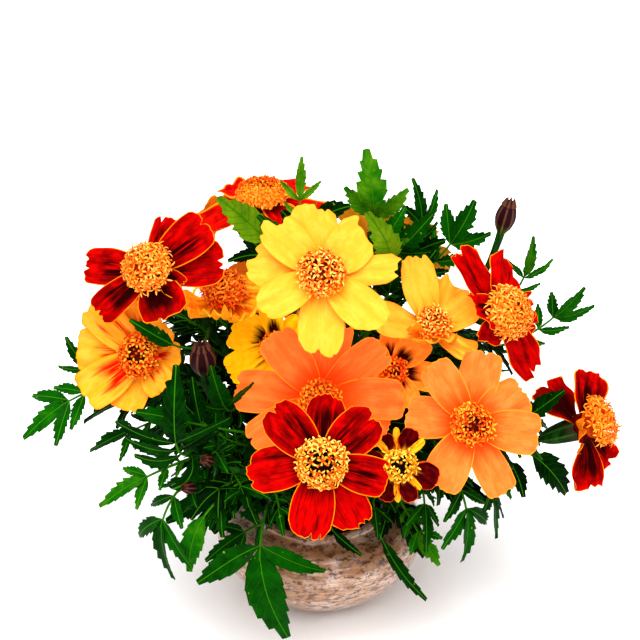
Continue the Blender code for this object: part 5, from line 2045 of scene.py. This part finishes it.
@dataclass
class Greenery:
    """Leaves that fill the heart of the bouquet, clear of the blooms and of the view of their faces.

    Bounds are in millimetres; neck is the half width, front and top of the room kept free before the neck.
    """

    name: str = "filling_leaves"
    seed: int = 41
    tries: int = 8000
    wanted: int = 230
    lengths: tuple[float, float] = (24.0, 46.0)
    tones: tuple[float, float] = (-0.1, 0.35)
    slender: float = 0.34
    half_width: float = 92.0
    half_depth: float = 62.0
    lowest: float = 14.0
    low: float = 38.0
    high: float = 128.0
    neck: tuple[float, float, float] = (42.0, -16.0, 50.0)
    tip_gap: float = 6.0
    rim_radius: float = 43.0
    batch: int = 16
    bowl_front: float = -28.0
    bowl_top: float = 36.0
    bowl_view: tuple[float, float] = (-35.0, 41.0)

    def leaf(self, path: StemPath, rng: np.random.Generator) -> tuple[Leaf, Array]:
        """A leaf drawn by chance on a stem, with its root.

        Args:
            path: the stem.
            rng: the source of chance.

        Returns:
            The leaf, and where it leaves the stem.
        """
        at = rng.uniform(0.02, 0.8)
        root = path.at(at)
        away = math.atan2(root[1], root[0]) + rng.normal(0, 1.0)
        flat = np.array((math.cos(away), math.sin(away), 0.0))
        length = rng.uniform(*self.lengths)
        climb = rng.uniform(-0.1, 0.9)
        via = root + unit(flat + UP * climb) * length * 0.45
        tip = via + unit(flat + UP * (climb - rng.uniform(0.2, 1.1))) * length * 0.62
        leaflet = length * rng.uniform(0.3, 0.4)
        tone = rng.uniform(*self.tones)
        pairs = int(rng.integers(1, 3))
        return Leaf(at, tuple(via), tuple(tip), pairs, leaflet, self.slender, (), tone), root

    def clear(self, sheet: LeafSheet, heads: list[tuple[HeadFrame, float]]) -> bool:
        """Whether a leaf stays inside the bouquet and clear of bowl, blooms and the view of them.

        Args:
            sheet: the leaf.
            heads: each bloom's axes and its longest petal.

        Returns:
            True where it fits.
        """
        spread = sheet.leaf.leaflet * 0.7
        along = np.linspace(0.2, 1.0, 7)[:, None] * sheet.length
        places = sheet.place(along, np.array((-spread, 0.0, spread)), 0.0).reshape(-1, 3) / MM
        reach = np.hypot(places[:, 0] / self.half_width, places[:, 1] / self.half_depth)
        radius = np.hypot(places[:, 0], places[:, 1])
        outside = (reach > 1).any() or (places[:, 2] > self.high).any() or (places[:, 2] < self.lowest).any()
        bowl = ((places[:, 2] < self.low) & (radius < self.rim_radius)).any()
        half, front, top = self.neck
        bowl |= ((places[:, 2] < top) & (places[:, 1] < front) & (np.abs(places[:, 0]) < half)).any()
        if outside or bowl:
            return False
        eye = np.array(camera_place()) / MM
        sight = (self.bowl_front - eye[1]) / (places[:, 1] - eye[1])
        over = eye + (places - eye) * sight[:, None]
        low, high = self.bowl_view
        veils = (over[:, 0] > low) & (over[:, 0] < high) & (over[:, 2] < self.bowl_top) & (places[:, 1] < 20)
        if veils.any():
            return False
        for head, petal in heads:
            near = head.local(places)
            ring = np.hypot(near[:, 0], near[:, 1])
            inside = (ring < petal + 1.5) & (near[:, 2] > -3.5) & (near[:, 2] < 9)
            inside |= (ring < 6.5) & (near[:, 2] > -18) & (near[:, 2] <= -3.5)
            if inside.any():
                return False
            facing = head.axis @ (eye - head.origin)
            if facing < 0:
                continue
            depth = head.axis @ (eye - head.origin) / np.maximum((eye - places) @ head.axis, 1e-6)
            hit = head.local(eye + (places - eye) * depth[:, None])
            hides = (depth > 1) & (np.hypot(hit[:, 0], hit[:, 1]) < petal * 0.9)
            if hides.any():
                return False
        return True

    def build(self, material: bpy.types.Material) -> list[bpy.types.Object]:
        """The filling leaves, in pieces of one batch each.

        Args:
            material: their finish.

        Returns:
            The pieces.
        """
        rng = np.random.default_rng(self.seed)
        heads = [(HeadFrame(bloom), max(petal[1] for petal in bloom.petals)) for bloom in BLOOMS]
        paths = [StemPath.of(grown) for grown in (*BLOOMS, *SPRAYS)]
        kept: list[LeafSheet] = []
        tips: list[Array] = []
        for _ in range(self.tries):
            leaf, root = self.leaf(paths[int(rng.integers(len(paths)))], rng)
            tip = np.array(leaf.tip)
            if any(np.linalg.norm(tip - other) < self.tip_gap for other in tips):
                continue
            sheet = LeafSheet(leaf, root, teeth=5, columns=3, rib_steps=9, rib_sides=5)
            if self.clear(sheet, heads):
                kept.append(sheet)
                tips.append(tip)
            if len(kept) == self.wanted:
                break
        LOG.info("%s: %d", self.name, len(kept))
        pieces = []
        for start in range(0, len(kept), self.batch):
            draft = MeshDraft(*LEAF_CHANNELS)
            for sheet in kept[start:start + self.batch]:
                sheet.grow(draft, rng)
            piece = draft.build(f"{self.name}_{start // self.batch + 1}", material)
            pieces.append(piece)
        return pieces


# The heart leaves are painted dark, painted shade for the inside of the bouquet; the filling leaves are
# painted a little darker than the named ones for the same shade.
GREENERIES = (
    Greenery(),
    Greenery(
        "heart_leaves", seed=7, tries=3000, wanted=90, lengths=(18.0, 32.0), tones=(-0.4, 0.0),
        slender=0.5, half_width=68.0, half_depth=44.0, high=114.0, tip_gap=5.0,
    ),
)


@dataclass
class StonewareBowl:
    """The turned bowl, with the shallow rings of its throwing and a soft groove under its neck."""

    outside: tuple[tuple[float, float], ...] = (
        (0.3, 0), (19, 0), (22, 1), (29.4, 6.4), (34.6, 12.4), (38, 18.5), (39.5, 25), (38.2, 29.4),
        (34, 32.8), (27.4, 34.6), (26.2, 36.2), (24.6, 37),
    )
    inside: tuple[tuple[float, float], ...] = (
        (23.2, 36.3), (23.4, 34.4), (31.6, 30.6), (35.6, 25.4), (33.6, 16.4), (26.4, 8.4), (17, 4.6),
        (0.3, 3.8),
    )
    sides: int = 96
    steps: int = 6
    ring_height: float = 2.6
    ring_depth: float = 0.1

    def build(self, material: bpy.types.Material) -> bpy.types.Object:
        """The bowl's piece.

        Args:
            material: its glaze.

        Returns:
            The piece, in place of the plain bowl.
        """
        profile = smooth_profile(self.outside + self.inside, self.steps)
        radius, height = profile[:, 0], np.maximum(profile[:, 1], 0.0)
        outer = np.arange(len(profile)) < len(self.outside) * self.steps
        ripple = np.sin(2 * np.pi * height / self.ring_height) * self.ring_depth
        side = eased(2.0, 5.0, height) * (1 - eased(33.0, 35.0, height))
        radius = np.minimum(radius, 39.5) - np.where(outer, (ripple + self.ring_depth) * side, 0.0)
        angles = np.arange(self.sides) * 2 * np.pi / self.sides
        rings = np.stack((
            radius[:, None] * np.cos(angles), radius[:, None] * np.sin(angles),
            np.broadcast_to(height[:, None], (len(height), self.sides)),
        ), axis=-1) * MM
        draft = MeshDraft()
        draft.add_loft(rings)
        piece = draft.build("bowl_stoneware", material, 45.0)
        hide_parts("bowl")
        return piece


@dataclass
class Studio:
    """The pale floor, the soft light and the camera."""

    floor_size: float = 8.0
    sky: float = 0.72
    key_strength: float = 3.1
    key_spread: float = 60.0
    key_from: tuple[float, float] = (-8.0, 70.0)

    def floor(self) -> None:
        """Adds the floor, which isn't part of the object."""
        bpy.ops.mesh.primitive_plane_add(size=self.floor_size, location=(0, 0, -0.0002))
        floor = bpy.context.object
        floor.name = "floor"
        floor.data.materials.append(FloorFinish().material("pale_floor"))

    def lights(self) -> None:
        """Adds an even pale sky and one broad soft lamp, high on the left of the front."""
        world = bpy.data.worlds.new("studio")
        world.use_nodes = True
        sky = world.node_tree.nodes["Background"]
        sky.inputs["Color"].default_value = WHITE
        sky.inputs["Strength"].default_value = self.sky
        bpy.context.scene.world = world
        lamp = bpy.data.lights.new("key", "SUN")
        lamp.energy = self.key_strength
        lamp.angle = math.radians(self.key_spread)
        key = bpy.data.objects.new("key", lamp)
        way = Vector(heading(*self.key_from))
        key.location = way
        key.rotation_euler = (-way).to_track_quat("-Z", "Y").to_euler()
        bpy.context.scene.collection.objects.link(key)

    def camera(self) -> None:
        """Adds the camera at the photograph's angle, and an even rendering of its colours."""
        lens = bpy.data.cameras.new("camera")
        lens.lens = CAMERA_LENS
        lens.sensor_width = 36.0
        view = bpy.data.objects.new("camera", lens)
        view.location = camera_place()
        view.rotation_euler = (CAMERA_AIM - view.location).to_track_quat("-Z", "Y").to_euler()
        bpy.context.scene.collection.objects.link(view)
        bpy.context.scene.camera = view
        bpy.context.scene.view_settings.view_transform = "Standard"
        bpy.context.scene.view_settings.look = "Medium High Contrast"

    def build(self) -> None:
        """Sets the whole studio up."""
        self.floor()
        self.lights()
        self.camera()


def main() -> None:
    """Builds every piece in order, and reports it."""
    logging.basicConfig(level=logging.INFO, format="%(name)s: %(message)s")
    petals = {kind: finish.material("petals_" + kind.name.lower()) for kind, finish in PETAL_FINISHES.items()}
    discs = {kind: finish.material("florets_" + kind.value) for kind, finish in FLORET_FINISHES.items()}
    leaf = LeafFinish().material("leaf")
    stem = STEM_FINISH.material("stem")
    pod = BUD_FINISH.material("bud")
    StonewareBowl().build(GlazeFinish().material("stoneware_glaze"))
    water = bpy.data.objects["water"]
    water.data.materials.clear()
    water.data.materials.append(WaterFinish().material("water"))
    for number, bloom in enumerate(BLOOMS):
        Corolla(bloom, number).build(petals[bloom.petal])
        FloretHead(bloom, number).build(discs[bloom.disc])
    for number, grown in enumerate((*BLOOMS, *SPRAYS)):
        Stalk(grown).build(stem)
        Foliage(grown, number).build(leaf)
        for bud in grown.buds:
            BudPiece(bud).build(pod)
    for greenery in GREENERIES:
        greenery.build(leaf)
    Studio().build()


if __name__ == "__main__":
    main()
